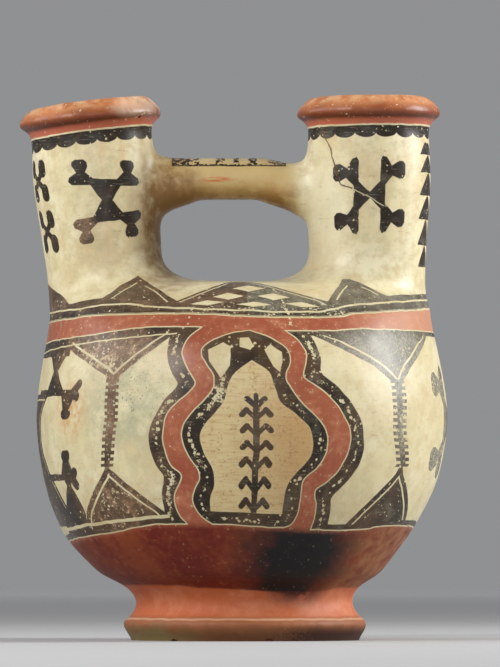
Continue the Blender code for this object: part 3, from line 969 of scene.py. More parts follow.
def slope_cosines(points):
    """The cosine of the slope of a traced line, at each of its points and halfway between them."""
    at, value = np.array(points).T
    where = np.sort(np.concatenate([at, (at[1:] + at[:-1]) / 2]))
    rise = np.interp(where + SLOPE_STEP, at, value) - np.interp(where - SLOPE_STEP, at, value)
    return [(w, 1.0 / hypot(1.0, r / (2 * SLOPE_STEP))) for w, r in zip(where, rise)]


def flowing(edge):
    """The same edge as a brush draws it: smooth, with its points close together and ever higher."""
    path = [edge[0]]
    for z, place_there in smooth_through(edge, per_span=4):
        if z > path[-1][0] + CLOSEST_POINTS:
            path.append((z, place_there))
    return path


def between_edges(edges):
    """The distance inside a shape between its left edge and its right edge."""
    left, right = edges
    from_left = round_belly - traced(height, left, "VECTOR")
    from_left = from_left * traced(height, slope_cosines(left), "VECTOR")
    from_right = traced(height, right, "VECTOR") - round_belly
    from_right = from_right * traced(height, slope_cosines(right), "VECTOR")
    return least(from_left, from_right)


in_black_outer = between_edges([flowing(edge) for edge in BLACK_OUTER])
in_red_outer = between_edges([flowing(edge) for edge in RED_OUTER])
in_red_inner = least(between_edges([flowing(edge) for edge in RED_INNER]), above_underbody)
# The floor of the panel slopes down to the right a little
PANEL_SLOPE, PANEL_FLOOR, PANEL_TOP = 0.04, 69.3, 150.4
panel_floor = vector_math(slip_tree, "DOT_PRODUCT", belly_chart, (PANEL_SLOPE, 1.0, -PANEL_FLOOR))
in_panel = least(between_edges([flowing(edge) for edge in PANEL]), panel_floor, PANEL_TOP - height)
keyhole_edges = (BLACK_OUTER, RED_OUTER, RED_INNER, PANEL)
print("keyhole traced:", sum(len(edge) for pair in keyhole_edges for edge in pair), "points")

# %% The windows above the panel
LEFT_WINDOW = (
    (-10.4, 140.9), (-5.7, 147.8), (-5.4, 157.6), (-10.0, 160.3), (-18.2, 156.2), (-17.2, 150.0),
)
MIDDLE_WINDOW = ((5.2, 155.9), (7.2, 158.1), (4.8, 162.7), (-0.4, 162.7), (-0.4, 157.6))
RIGHT_WINDOW = (
    (21.1, 144.1), (22.5, 150.0), (22.6, 154.9), (16.6, 159.2), (13.0, 156.2), (17.4, 147.3),
)
window_shapes = (LEFT_WINDOW, MIDDLE_WINDOW, RIGHT_WINDOW)
windows = most(*[dab(belly_chart, corners) for corners in window_shapes])
print("windows:", len(window_shapes))

# %% The plant
STEM = ((66, 7.3), (80, 7.8), (96, 8.0), (108, 8.5), (118, 8.2), (131, 8.0))
STEM_WIDTH, STEM_TOP, LEAVES_TOP = 3.5, 128.5, 127.0
# How many pairs of leaves lie below each height
LEAF_COUNT = (
    (66, -0.45), (75, 0.5), (86, 1.5), (97, 2.5), (105.8, 3.5), (114.7, 4.5), (123.2, 5.5),
    (131, 6.4),
)
LEAF_RISE = 9.6
# Each leaf is a stalk with a drooping tip, and the fan on top is a branch and a bud: (from, to, width)
LEAF_STALK, LEAF_TIP = ((0.6, -3.9), (5.0, 0.6), 2.6), ((5.0, 0.6), (7.4, -2.2), 3.3)
FAN_BRANCH, FAN_BUD = ((0.4, -2.6), (4.6, 1.4), 3.2), ((0.0, 0.0), (0.0, 3.2), 2.7)
from_stem = round_belly - traced(height, STEM)
beside_stem = abs(from_stem)
leaf_phase = math("FRACT", traced(height, LEAF_COUNT)) - 0.5
leaf_chart = join(slip_tree, beside_stem, leaf_phase * LEAF_RISE, 1.0)
leaf = most(stroke(leaf_chart, *LEAF_STALK), stroke(leaf_chart, *LEAF_TIP))
leaves = least(leaf, LEAVES_TOP - height)
fan_chart = join(slip_tree, beside_stem, height - STEM_TOP, 1.0)
fan = most(stroke(fan_chart, *FAN_BRANCH), stroke(fan_chart, *FAN_BUD))
stem = least(line_along(from_stem, STEM_WIDTH), STEM_TOP - height)
# The plant is on the front only: the hidden side stays plainer
plant = least(most(leaves, stem, fan), -deep)
print("pairs of leaves:", round(LEAF_COUNT[-1][1]))

# %% [markdown]
# ## The columns beside the keyhole
# On each side a black triangle hangs from the band, a column of small ticks stands under it, and a
# second triangle stands on the floor line. Together they have one outline, traced once for each side.

# %% The outlines of both columns: (height, left edge, right edge)
LEFT_COLUMN = (
    (62, -110, -43), (66, -107.5, -43.5), (70, -104.5, -46), (80, -93.8, -60), (88, -85, -71),
    (93, -80.6, -77.2), (94.5, -80.8, -76.8), (119, -76.2, -71), (139, -76.4, -70.8),
    (143, -78.8, -68.6), (150, -95, -59), (157, -113.5, -49.5), (165, -134, -39.5),
)
RIGHT_COLUMN = (
    (58, 66, 135), (63, 69.1, 131), (70, 75.3, 124), (80, 85.8, 114), (90, 96.5, 104),
    (94, 99, 101.6), (95, 99.4, 104), (114, 92.8, 97.6), (136, 93, 97.4), (139, 91.4, 98.4),
    (148, 78, 109), (157, 58.6, 124), (165, 40.5, 138),
)
TICK_SPACING, TICK_GAP, LEFT_REACH, RIGHT_REACH = 3.5, 0.21, 4.5, 5.8
TICKS_FROM, TICKS_TO = 94.0, 141.0
COLUMN_LINE_IN, COLUMN_LINE = 3.9, 1.1


def column(outline):
    """The distance inside a column's outline, and the middle of the column."""
    left = [(z, low) for z, low, _ in outline]
    right = [(z, high) for z, _, high in outline]
    middle = [(z, (low + high) / 2) for z, low, high in outline]
    return between_edges((left, right)), traced(height, middle, "VECTOR")


left_column, left_middle = column(LEFT_COLUMN)
right_column, right_middle = column(RIGHT_COLUMN)
on_right = math("GREATER_THAN", round_belly, BELLY_MIDDLE)


def choose(switch, if_no, if_yes):
    """One of two amounts."""
    node = place(slip_tree, "ShaderNodeMix", {"data_type": "FLOAT"}, {0: switch, 2: if_no, 3: if_yes})
    return Amount(node.outputs[0])


in_column = choose(on_right, left_column, right_column)
column_middle = choose(on_right, left_middle, right_middle)
from_column = abs(round_belly - column_middle)
column_line = line_along(in_column - COLUMN_LINE_IN, COLUMN_LINE)
tick_phase = abs(math("FRACT", height * (1 / TICK_SPACING)) - 0.5) * TICK_SPACING
tick_reach = choose(on_right, LEFT_REACH, RIGHT_REACH)
ticks = least(tick_phase - TICK_SPACING * TICK_GAP, tick_reach - from_column)
ticks = least(ticks, height - TICKS_FROM, TICKS_TO - height)
black_columns = most(least(in_column, -column_line), ticks)
print("ticks in a column:", round((TICKS_TO - TICKS_FROM) / TICK_SPACING))

# %% [markdown]
# ## The figures on the sides
# Only the edges of the side panels are seen in the photograph. On the left it is a bar with a stalk
# and a knob, twice, one the mirror of the other, beside a tall waisted shape. They are laid out from
# the middle of the side, folded left to right and top to bottom.

# %% The left side panel
HALF_WAY_ROUND = pi / 2 * CHART_RADIUS
PANEL_MIDDLE, PANEL_LEAN = 111.4, 0.14
from_side = HALF_WAY_ROUND - abs(round_belly)
off_panel = height - PANEL_MIDDLE
leaning = from_side - off_panel * PANEL_LEAN
panel_chart = join(slip_tree, leaning, abs(off_panel), 1.0)
BAR = ((17.0, 20.8), (66.0, 21.2), (66.0, 24.4), (17.0, 25.0))
BAR_END, BAR_KNOBS, KNOB_WIDTH = (65.6, 23.4), ((69.0, 27.0), (68.4, 20.4)), 5.6
bar_knobs = [stroke(panel_chart, BAR_END, knob, KNOB_WIDTH) for knob in BAR_KNOBS]
knobbed_bar = most(dab(panel_chart, BAR), *bar_knobs)
STALK_KNOB = ((58.6, 11.4), (61.8, 11.4), 6.2)
STALK = ((57.2, 13.0), (63.2, 13.0), (67.5, 22.0), (53.0, 22.0))
stalk = most(stroke(panel_chart, *STALK_KNOB), dab(panel_chart, STALK))
# The waisted shapes above and below the bars: (height, middle) and (height, half width)
WAISTED_MIDDLE = ((60, 46), (67, 50.5), (84, 57), (90, 57), (130, 49), (146, 45.6), (160, 45))
WAISTED_WIDTH = ((60, 17), (67, 14.6), (84, 2.4), (88, 5.0), (133, 13.0), (146, 3.0), (158, 14.0))
BEHIND_BAR = 22.0
waisted_middle = traced(height, WAISTED_MIDDLE)
waisted_width = traced(height, WAISTED_WIDTH, "VECTOR")
waisted_shape = least(waisted_width - abs(from_side - waisted_middle), abs(off_panel) - BEHIND_BAR)
print("left side panel laid out from", round(HALF_WAY_ROUND, 1), "mm round")

# %% The tall shape in the middle of the left side: (height, half width)
TALL_WIDTH = (
    (64, 52), (76, 44), (86, 37.5), (90, 34), (97, 28.5), (104, 25), (111, 24), (118, 25),
    (125, 29), (131, 35), (136, 38), (150, 30),
)
TALL_FOOT, TALL_TOP = 62.0, 134.0
FINE_LINE, TALL_LINE_IN, TALL_LINE_FROM = 0.65, 3.0, 72.0
LEFT_SIDE_ENDS = -38.0
tall_shape = traced(height, TALL_WIDTH) - from_side
tall_shape = least(tall_shape, TALL_TOP - height, height - TALL_FOOT)
tall_line = least(line_along(tall_shape - TALL_LINE_IN, FINE_LINE), height - TALL_LINE_FROM)
tall_figure = least(tall_shape, -tall_line)
left_figure = most(knobbed_bar, stalk, waisted_shape, tall_figure)
left_figure = least(left_figure, LEFT_SIDE_ENDS - round_belly)
print("tall shape:", TALL_TOP - TALL_FOOT, "mm high")

# %% [markdown]
# On the right only two worn knobs are in sight. They are taken as the ends of one large crossed
# figure, like those on the necks: an hourglass with an arm at each corner, and a knob above each arm.
# It is folded both ways, so a quarter of it is enough.

# %% The right side panel
HOURGLASS = ((-3.0, -3.0), (1.0, -3.0), (3.0, 0.0), (9.2, 8.6), (9.8, 11.6), (-3.0, 11.6))
ARM = ((7.0, 8.0), (18.5, 8.0), (20.6, 9.6), (19.8, 12.2), (15.4, 14.8), (10.6, 15.2), (6.0, 11.3))
KNOB_ABOVE = (
    (11.2, 13.6), (14.6, 13.6), (17.8, 18.4), (17.6, 20.6), (15.8, 21.9), (10.8, 21.9), (9.2, 20.6),
    (9.0, 18.4),
)
CROSS_QUARTER = (HOURGLASS, ARM, KNOB_ABOVE)
# The large figure's shrinking, upwards and round, onto the size of those on the necks
LARGE_CROSS_HEIGHT, LARGE_UP, LARGE_ROUND, LARGE_GROWTH = 119.0, 0.66, 0.52, 1.6
large_up = abs(height - LARGE_CROSS_HEIGHT) * LARGE_UP
large_chart = join(slip_tree, large_up, from_side * LARGE_ROUND, 1.0)
large_cross = most(*[dab(large_chart, corners) for corners in CROSS_QUARTER])
right_figure = least(large_cross * LARGE_GROWTH, on_right - 0.5)
side_figure = most(left_figure, right_figure)
print("corners in a quarter of a cross:", sum(len(corners) for corners in CROSS_QUARTER))

# %% [markdown]
# ## The dome between the spouts
# Above a fine cream line the shoulder turns over into a dome. Black humps climb up the feet of the
# spouts, and an arch with a lattice of lozenges fills the middle. Height is a poor measure where the
# wall lies flat, so this chart uses the way across and the angle of the turn, scaled to millimetres.

# %% The chart of the dome and its black humps
DOME_CENTRE_Z, DOME_STRETCH, DOME_SCALE = 120.0, 1.47, 2.0
DOME_OUTLINE = (
    (-110, 64), (-96, 66), (-88, 68.5), (-82.3, 66.6), (-76.8, 64.5), (-69.6, 62.6),
    (-64.8, 65.5), (-60.6, 69.5), (-55.2, 71.7), (-50.4, 74.2), (-45.4, 71.4), (-39.8, 62.9),
    (-34.2, 55.8), (-29.3, 51.5), (-22.3, 54.8), (-14.3, 59.2), (-7.3, 64.5), (0.2, 73.3),
    (7.3, 73.3), (18.1, 65.4), (28.9, 59.5), (39.7, 55.7), (52, 52.7), (56, 62), (60, 72.3),
    (64.4, 72.2), (69.8, 71.1), (75.2, 69.1), (80.5, 67), (84.9, 66.7), (97.2, 74.9), (110, 84),
)
DOME_TOP, NECK_FOOT = 206.0, 204.0
# Half of a painted line, and how far the band at the dome's foot rises and from where it shows
HALF_LINE, BAND_RISE, BAND_FROM = 0.45, 3.4, 78.0
BASE_TRIANGLE = (
    (-200.0, 178.0), (-134.0, 181.5), (-134.0, 183.0), (-164.0, 193.6), (-200.0, 204.0),
)
turn = math("ARCTAN2", (height - DOME_CENTRE_Z) * DOME_STRETCH, depth) * (360 / tau * DOME_SCALE)
dome_chart = join(slip_tree, across, turn, 1.0)
dome_points = [(x, angle * DOME_SCALE) for x, angle in DOME_OUTLINE]
below_outline = traced(across, dome_points, "VECTOR") - turn
below_outline = below_outline * traced(across, slope_cosines(dome_points), "VECTOR")
above_upper_line = height - upper_line
base_band = least(BAND_RISE - above_upper_line, abs(across) - BAND_FROM)
base_triangle = dab(belly_chart, BASE_TRIANGLE)
in_dome = most(least(below_outline, DOME_TOP - height), base_band, base_triangle)
in_dome = least(in_dome, above_upper_line - HALF_LINE)
print("outline of the dome:", len(DOME_OUTLINE), "points")

# %% The cream lines and the lozenges of the dome
def dome_line(x0, angle0, x1, angle1):
    """A straight cream line on the dome."""
    return stroke(dome_chart, (x0, angle0 * DOME_SCALE), (x1, angle1 * DOME_SCALE), 2 * HALF_LINE)


def lozenge(x, angle, half_width, half_angle):
    """The distance inside a lozenge on the dome."""
    half_height = half_angle * DOME_SCALE
    spot = vector_math(slip_tree, "SUBTRACT", dome_chart, (x, angle * DOME_SCALE, 1.0))
    spot = vector_math(slip_tree, "ABSOLUTE", spot)
    size = hypot(half_width, half_height)
    side = (half_height / size, half_width / size, 0.0)
    return half_width * half_height / size - vector_math(slip_tree, "DOT_PRODUCT", spot, side)


HUMP_LINES = (
    (-64.7, 60.4, -51.4, 70.5), (-46.4, 67.4, -34.7, 51.5), (56.9, 55.0, 62.6, 68.4),
    (70.8, 68.4, 79.4, 65.1),
)
LOZENGES = (
    (9.2, 60.0, 8.8, 3.3), (-1.7, 53.1, 8.2, 2.7), (22.6, 53.1, 8.8, 2.6), (-13.0, 49.0, 9.5, 1.5),
    (12.2, 47.7, 9.6, 1.5), (38.0, 49.0, 9.5, 1.4),
)
# The line inside the arch: how far in, the arch's middle and half width, and where the line starts
ARCH_BORDER, ARCH_MIDDLE, ARCH_HALF, ARCH_FROM = 2.6, 11.3, 41.0, 101.0
arch_middle = ARCH_HALF - abs(across - ARCH_MIDDLE)
arch_line = line_along(in_dome - ARCH_BORDER, 2 * HALF_LINE)
arch_line = least(arch_line, arch_middle, turn - ARCH_FROM)
hump_lines = [dome_line(*ends) for ends in HUMP_LINES]
lattice = [lozenge(*sizes) for sizes in LOZENGES]
dome_cream = most(arch_line, *hump_lines, *lattice)
black_dome = least(in_dome, -dome_cream)
print("lozenges in the arch:", len(LOZENGES), "and lines in the humps:", len(HUMP_LINES))

# %% [markdown]
# ## The necks of the spouts
# Each neck has a red rim, a fine cream line, a black collar with a scalloped edge, and a crossed
# figure with knobs at its eight ends. The two figures are one design: the second is the first,
# turned by a quarter. One shape, folded about its middle, draws all four arms.

# %% The chart of the necks
NECK_RADIUS, ROOT_HEIGHT = 33.5, 165.0
# The axis of each neck at its root, the height of its rim in the middle, and their slopes
LEFT_AXIS, LEFT_LEAN, LEFT_RIM, LEFT_RIM_LEAN = -66.4, -0.0965, 304.4, 0.126
RIGHT_AXIS, RIGHT_LEAN, RIGHT_RIM, RIGHT_RIM_LEAN = 74.2, 0.0075, 296.5, 0.014
beyond_right = math("GREATER_THAN", across, 0.0)
up_from_root = height - ROOT_HEIGHT
left_axis = up_from_root * LEFT_LEAN + LEFT_AXIS
right_axis = up_from_root * RIGHT_LEAN + RIGHT_AXIS
neck_axis = choose(beyond_right, left_axis, right_axis)
round_neck = math("ARCTAN2", across - neck_axis, depth) * NECK_RADIUS
left_rim = across * LEFT_RIM_LEAN + LEFT_RIM
right_rim = across * RIGHT_RIM_LEAN + RIGHT_RIM
rim_height = choose(beyond_right, left_rim, right_rim)
below_rim = rim_height - height
outward = round_neck * (beyond_right * 2.0 - 1.0)
above_dome = height - NECK_FOOT
print("necks charted round a radius of", NECK_RADIUS, "mm")

# %% The scalloped collar
SCALLOP, SCALLOP_START, SCALLOP_DEPTH, SCALLOP_ROUNDNESS = 11.7, 31.5, 6.6, 0.27
# Below the rim, on the left neck and the right: the cream line, and the feet of the scallops
COLLAR_LINES, SCALLOP_FEET = (16.9, 16.5), (21.2, 20.2)
collar_line = choose(beyond_right, *COLLAR_LINES)
scallop_phase = math("FRACT", (round_neck + SCALLOP_START) * (1 / SCALLOP)) - 0.5
scallop = math("MAXIMUM", SCALLOP_ROUNDNESS - scallop_phase * scallop_phase, 0.0)
scallop = math("SQRT", scallop) * SCALLOP_DEPTH
collar_edge = scallop + choose(beyond_right, *SCALLOP_FEET)
in_collar = least(below_rim - collar_line - HALF_LINE, collar_edge - below_rim, above_dome)
in_rim = least(collar_line - HALF_LINE - below_rim, above_dome)
print("scallops round a neck:", round(tau * NECK_RADIUS / SCALLOP))

# %% The crossed figures on the necks
LEFT_CROSS, RIGHT_CROSS = (5.8, 239.7), (0.3, 242.4)
LOWER_SHEAR, RIGHT_SHEAR = 0.15, 0.05
cross_across = round_neck - choose(beyond_right, LEFT_CROSS[0], RIGHT_CROSS[0])
cross_up = height - choose(beyond_right, LEFT_CROSS[1], RIGHT_CROSS[1])
upright_a = abs(cross_across)
upright_b = abs(cross_up) + math("LESS_THAN", cross_up, 0.0) * cross_across * LOWER_SHEAR
turned_a = abs(cross_up - cross_across * RIGHT_SHEAR) * 0.90 + 1.5
turned_b = least(abs(cross_across) * 1.35, abs(cross_across) * 0.86 + 4.1)
cross_along = choose(beyond_right, upright_a, turned_a)
cross_beside = choose(beyond_right, upright_b, turned_b)
cross_chart = join(slip_tree, cross_along, cross_beside, 1.0)
cross = most(*[dab(cross_chart, corners) for corners in CROSS_QUARTER])
print("crosses at", LEFT_CROSS[1], "and", RIGHT_CROSS[1], "mm up")

# %% The small column on the outside of each neck
SMALL_CROSSES, SMALL_OUT, SMALL_LEAN = (250.8, 223.2), 38.0, 0.07
SMALL_ARM, SMALL_KNOB = ((0.0, 0.0), (5.0, 4.6), 3.6), ((5.6, 5.0), (5.6, 8.4), 6.6)
small_up = least(*[abs(height - middle) for middle in SMALL_CROSSES])
small_across = abs(outward - SMALL_OUT + (SMALL_CROSSES[0] - height) * SMALL_LEAN)
small_chart = join(slip_tree, small_across, small_up, 1.0)
small_cross = most(stroke(small_chart, *SMALL_ARM), stroke(small_chart, *SMALL_KNOB))
small_cross = least(small_cross, 1.0 - beyond_right * 2.0)
# How many teeth lie above each height, and how wide a tooth is at its foot
TEETH = (
    (200.6, 6.0), (215.8, 5.0), (230.0, 4.0), (243.1, 3.0), (255.6, 2.0), (265.5, 1.0),
    (273.2, 0.1),
)
TOOTH_WIDTH, TOOTH_MIDDLE, TEETH_TOP = 10.2, 43.0, 272.0
# A tooth bulges a little, and its flank leans, so the way across it counts for less
TOOTH_BULGE, TOOTH_FLANK = 0.7, 0.85
tooth_share = math("FRACT", traced(height, TEETH, "VECTOR"))
tooth_share = math("POWER", tooth_share, TOOTH_BULGE)
tooth = tooth_share * TOOTH_WIDTH - abs(outward - TOOTH_MIDDLE)
tooth = least(tooth * TOOTH_FLANK, TEETH_TOP - height, beyond_right * 2.0 - 1.0)
black_neck = least(most(in_collar, cross, small_cross, tooth), above_dome)
print("teeth on the right neck:", round(TEETH[0][1]))

# %% The worn strip on top of the bridge
STRIP_LEFT, STRIP_RIGHT, STRIP_FROM = -32.7, 29.7, 259.2
in_strip = least(across - STRIP_LEFT, STRIP_RIGHT - across, height - STRIP_FROM)
STRIP_WINDOWS = ((-13.3, 4.6), (-1.5, 2.4), (6.5, 2.6), (17.0, 3.2))
strip_windows = most(*[reach - abs(across - middle) for middle, reach in STRIP_WINDOWS])
STRIP_BORDER, STRIP_LINE = 1.2, 0.7
strip_windows = least(strip_windows, in_strip - STRIP_BORDER)
strip_outline = line_along(in_strip - STRIP_LINE / 2, STRIP_LINE)
strip_wear = noise_amount(slip_tree, true_place, 1 / 0.45, 3.0)
strip_left = (0.53 - strip_wear) * 9.0
black_strip = most(least(in_strip, -strip_windows, strip_left), strip_outline)
print("strip on the bridge:", round(STRIP_RIGHT - STRIP_LEFT, 1), "mm long")

# %% [markdown]
# ## Red, black and cream
# The painter left a hair of cream slip between red and black wherever they meet. That falls out of
# the distances: all the red is gathered first, and black stops short of it by the width of a line.

# %% Where the red and the black lie
CREAM_LINE = ((-172, 156.3), (-160, 157.0), (-106, 160.5), (-75.6, 162.6), (-36, 165.2))
CREAM_STRIP = ((-172, 57.6), (-156.5, 59.1), (-115.6, 62.3), (-80, 64.8), (-40, 67.7))
KEYHOLE_TOP, RIBBON_TOP, RIBBON_FOOT = 166.9, 170.0, 50.0
TOP_STRIP, BOTTOM_STRIP, BLACK_TOP, HEM_FROM = 3.0, 3.3, 0.9, 1.1
CREAM_LINE_WIDTH, STRIP_WIDTH, STRIP_ENDS = 0.7, 1.7, -42.5
# The black corner at the far left: round from the middle and up from the sole
CORNER_FROM, CORNER_FOOT = -114.0, 154.0
in_red_inner = least(in_red_inner, KEYHOLE_TOP - height)
ribbon = least(in_red_outer, -in_red_inner, RIBBON_TOP - height, height - RIBBON_FOOT)
red_below = -above_underbody
red_belly = most(red_band, ribbon, red_below - 0.1)
cream_line = line_along(height - traced(round_belly, CREAM_LINE), CREAM_LINE_WIDTH)
cream_line = least(cream_line, LEFT_SIDE_ENDS - round_belly)
cream_strip = line_along(height - traced(round_belly, CREAM_STRIP), STRIP_WIDTH)
cream_strip = least(cream_strip, STRIP_ENDS - round_belly)
far_left = least(CORNER_FROM - round_belly, height - CORNER_FOOT)
outside_keyhole = most(
    in_black_outer,
    black_columns,
    side_figure,
    TOP_STRIP - abs(height - red_bottom),
    least(BOTTOM_STRIP - above_underbody, above_underbody + 1.0),
    far_left,
)
outside_keyhole = least(outside_keyhole, -in_red_inner, -cream_line, -cream_strip)
panel_and_windows = most(in_panel, windows)
inside_keyhole = least(in_red_inner, most(-panel_and_windows, least(plant, in_panel)))
black_body = least(most(outside_keyhole, inside_keyhole), red_top + BLACK_TOP - height)
above_red_top = height - red_top
black_hem = least(above_red_top - HEM_FROM, -above_upper_line - HALF_LINE)
black_body = most(black_body, black_hem, black_dome)
black_body = least(black_body, -red_belly - FINE_LINE, NECK_FOOT - height)
black = most(black_body, black_neck, black_strip)
print("nodes in the slip so far:", len(slip_tree.nodes))

# %% [markdown]
# ## Wear
# The slip was burnished, and then centuries of handling took their share: flecks where black has
# flaked off down to the cream, rubbed patches where it has gone grey, ochre stains, fine scratches.
# On the right, where the strong side light falls, that grey is partly a painted sheen.
# Two noises set how much wear a place has, and a finer one decides which grains are gone.

# %% Noises for the wear
# Each noise by its size in mm, its layers of detail and its roughness
STAIN_SIZE, GRAIN_SIZE = 38.0, 1.15
patches = noise_amount(slip_tree, true_place, 26.0, 2.0)
mottle = noise_amount(slip_tree, true_place, 8.0, 4.0, 0.6)
grains = noise_amount(slip_tree, true_place, GRAIN_SIZE, 3.0, 0.65)
chips = noise_amount(slip_tree, true_place, 3.4, 3.0, 0.6)
stretched = vector_math(slip_tree, "MULTIPLY", true_place, (0.10, 0.10, 1.0))
scratches = noise_amount(slip_tree, stretched, 0.9, 2.0)
stain_noise = noise_amount(slip_tree, true_place, STAIN_SIZE, 4.0, 0.6)
craze_sockets = {"Vector": true_place, "Scale": 1 / 5.5}
crazing = place(slip_tree, "ShaderNodeTexVoronoi", {"feature": "DISTANCE_TO_EDGE"}, craze_sockets)
crazing = math("MULTIPLY_ADD", Amount(crazing.outputs[0]), -1 / 0.018, 1.0, clamp=True)
print("stains about", STAIN_SIZE, "mm wide, grains", GRAIN_SIZE, "mm")

# %% Flecks, strewn one to a cell
FLECK_SPACING = 2.7
jitter = noise_at(slip_tree, true_place, 1.6, 1.0).outputs["Color"]
jitter = vector_math(slip_tree, "SCALE", jitter, scale=1.7)
jittered = vector_math(slip_tree, "ADD", true_place, jitter)
fleck_sockets = {"Vector": jittered, "Scale": 1 / FLECK_SPACING}
fleck_cells = place(slip_tree, "ShaderNodeTexVoronoi", {"feature": "F1"}, fleck_sockets)
fleck_size = split(slip_tree, fleck_cells.outputs["Color"])[0]
from_fleck = Amount(fleck_cells.outputs["Distance"]) * FLECK_SPACING
print("flecks: one to every", FLECK_SPACING, "mm at most")

# %% Ramps and soft spots
def ramp(amount, low, high):
    """0 below one value of an amount and 1 above another."""
    return math("MULTIPLY_ADD", amount, 1 / (high - low), -low / (high - low), clamp=True)


def soft_spot(chart, x, y, reach_x, reach_y):
    """1 at a place on a chart, falling to 0 at an oval round it."""
    away = vector_math(slip_tree, "SUBTRACT", chart, (x, y, 1.0))
    away = vector_math(slip_tree, "MULTIPLY", away, (1 / reach_x, 1 / reach_y, 0.0))
    return math("SUBTRACT", 1.0, vector_math(slip_tree, "LENGTH", away), clamp=True)


# %% Worn places: (round, height, reach round, reach up, flaked, rubbed)
# The spots on the right, under the strong side light, hold painted sheen as well as wear.
WORN_SPOTS = (
    (-82, 152, 56, 20, 0.11, 1.5), (98, 154, 60, 24, 0.05, 1.7), (99, 118, 20, 30, 0.11, 1.1),
    (-74, 118, 16, 34, 0.03, 1.1), (-46, 128, 18, 22, 0.02, 1.5), (-80, 76, 44, 22, 0.07, 0.8),
    (44, 160, 22, 14, 0.06, 0.3), (-38, 84, 18, 16, 0.06, 0.3), (-12, 133, 12, 14, 0.13, 0.3),
    (12, 178, 62, 7, 0.10, 0.2), (62, 176, 24, 9, 0.08, 0.1), (140, 118, 34, 60, 0.12, 1.6),
)
flaked, rubbed = (patches - 0.5) * 0.12, (mottle - 0.5) * 1.1
for x, y, reach_x, reach_y, flaking, rubbing in WORN_SPOTS:
    spot = soft_spot(belly_chart, x, y, reach_x, reach_y)
    flaked, rubbed = flaked + spot * flaking, rubbed + spot * rubbing
# The dome has greyed all over, and so has one arm of the left cross
front_chart = join(slip_tree, across, height, 1.0)
rubbed = rubbed + least(ramp(height, 175.0, 182.0), ramp(DOME_TOP - height, 0.0, 4.0)) * 0.5
rubbed = rubbed + soft_spot(front_chart, -84.0, 224.0, 13.0, 13.0) * 2.0
rubbed = held(rubbed)
print("worn spots:", len(WORN_SPOTS))

# %% Which flecks and flakes are gone
FLECK_GROWTH, FLECK_LEAST, FLECK_EDGE = 0.72, 0.14, 0.30
# Along the middle of each ribbon of the keyhole flecks lie thickest
off_middle = least(abs(in_black_outer + in_red_outer), abs(in_red_inner + in_panel)) * 0.5
in_ribbon = brushed(1.2 - off_middle, 1.6)
fleck_radius = fleck_size * FLECK_GROWTH - FLECK_LEAST + flaked * 2.0 + in_ribbon * 0.72
fleck_dots = brushed(fleck_radius - from_fleck, FLECK_EDGE)
flakes = brushed(grains * 0.55 + chips * 0.45 + flaked + in_ribbon * 0.075 - 0.650, 0.035)
flecks = most(fleck_dots, flakes)
# The hard reds keep more of their slip
few_dots = brushed(fleck_radius - 0.24 - from_fleck, FLECK_EDGE)
few_flecks = most(few_dots, brushed(grains * 0.5 + chips * 0.5 - 0.625, 0.04))
print("flecks grow to", round(2 * (FLECK_GROWTH - FLECK_LEAST), 2), "mm where nothing has rubbed")

# %% [markdown]
# ## The colours
# Slips are clay too: cream from white clay, red from ochre, black from manganese. Thin places let
# the ground through, and the underbody is painted dark: clouds from the fire, and painted shade under
# the belly. Each colour is mixed over the one below it, as it was brushed.

# %% Mixing
SCREEN_GAMMA = 2.2


def slips(*tones):
    """Colours as they are seen on a screen (0-255), made linear for the shader."""
    return [(*[(part / 255) ** SCREEN_GAMMA for part in tone], 1.0) for tone in tones]


def paint_over(tree, under, over, share):
    """One colour over another."""
    sockets = {0: share, 6: under, 7: over}
    return place(tree, "ShaderNodeMix", {"data_type": "RGBA"}, sockets).outputs[2]


def washed(under, over, share):
    """The same on the slip."""
    return paint_over(slip_tree, under, over, share)


# %% The colours of the cream
CREAM, PALE_CREAM = slips((208, 195, 154), (222, 213, 180))
OLIVE_CREAM, GREY_CREAM = slips((182, 173, 134), (176, 172, 140))
DARKENED_CREAM, WARM_CREAM = slips((184, 172, 132), (202, 168, 122))
OCHRE, OCHRE_RUN, OCHRE_BLOTCH = slips((192, 158, 110), (196, 164, 118), (186, 136, 82))
PANEL_TAN, PANEL_BROWN = slips((196, 174, 126), (178, 142, 94))
PANEL_SCRATCH, PANEL_PIT = slips((168, 128, 82), (146, 100, 58))
BRIDGE_TAN, STAIN_AND_SHADE, UNDERSIDE_SHADE = slips((190, 162, 106), (158, 116, 60), (104, 72, 34))
CORNER_SHADE_BROWN, RED_SMEAR = slips((124, 92, 54), (182, 104, 54))
CRAZE_BROWN, SCRATCH = slips((170, 136, 88), (128, 100, 68))
GREEN_GREY, SOOT = slips((158, 158, 130), (92, 86, 66))

# %% The cream ground
ground = washed(CREAM, PALE_CREAM, ramp(patches, 0.42, 0.66) * 0.8)
ground = washed(ground, OLIVE_CREAM, ramp(mottle, 0.44, 0.64) * 0.68)
# The belly has darkened more than the necks
ground = washed(ground, DARKENED_CREAM, ramp(NECK_FOOT - height, 0.0, 26.0) * 0.40)
ground = washed(ground, OCHRE, ramp(stain_noise, 0.50, 0.70) * 0.55)
ground = washed(ground, WARM_CREAM, ramp(mottle * 0.5 + chips * 0.5, 0.52, 0.62) * 0.40)
ground = washed(ground, GREY_CREAM, ramp(0.5 * chips + 0.5 * stain_noise, 0.50, 0.60) * 0.35)
# Down the necks the slip ran in faint upright streaks
run_place = vector_math(slip_tree, "MULTIPLY", true_place, (1.0, 1.0, 0.12))
runs = noise_amount(slip_tree, run_place, 4.5, 3.0, 0.6)
ground = washed(ground, OCHRE_RUN, ramp(runs, 0.52, 0.66) * ramp(height, 200.0, 216.0) * 0.45)
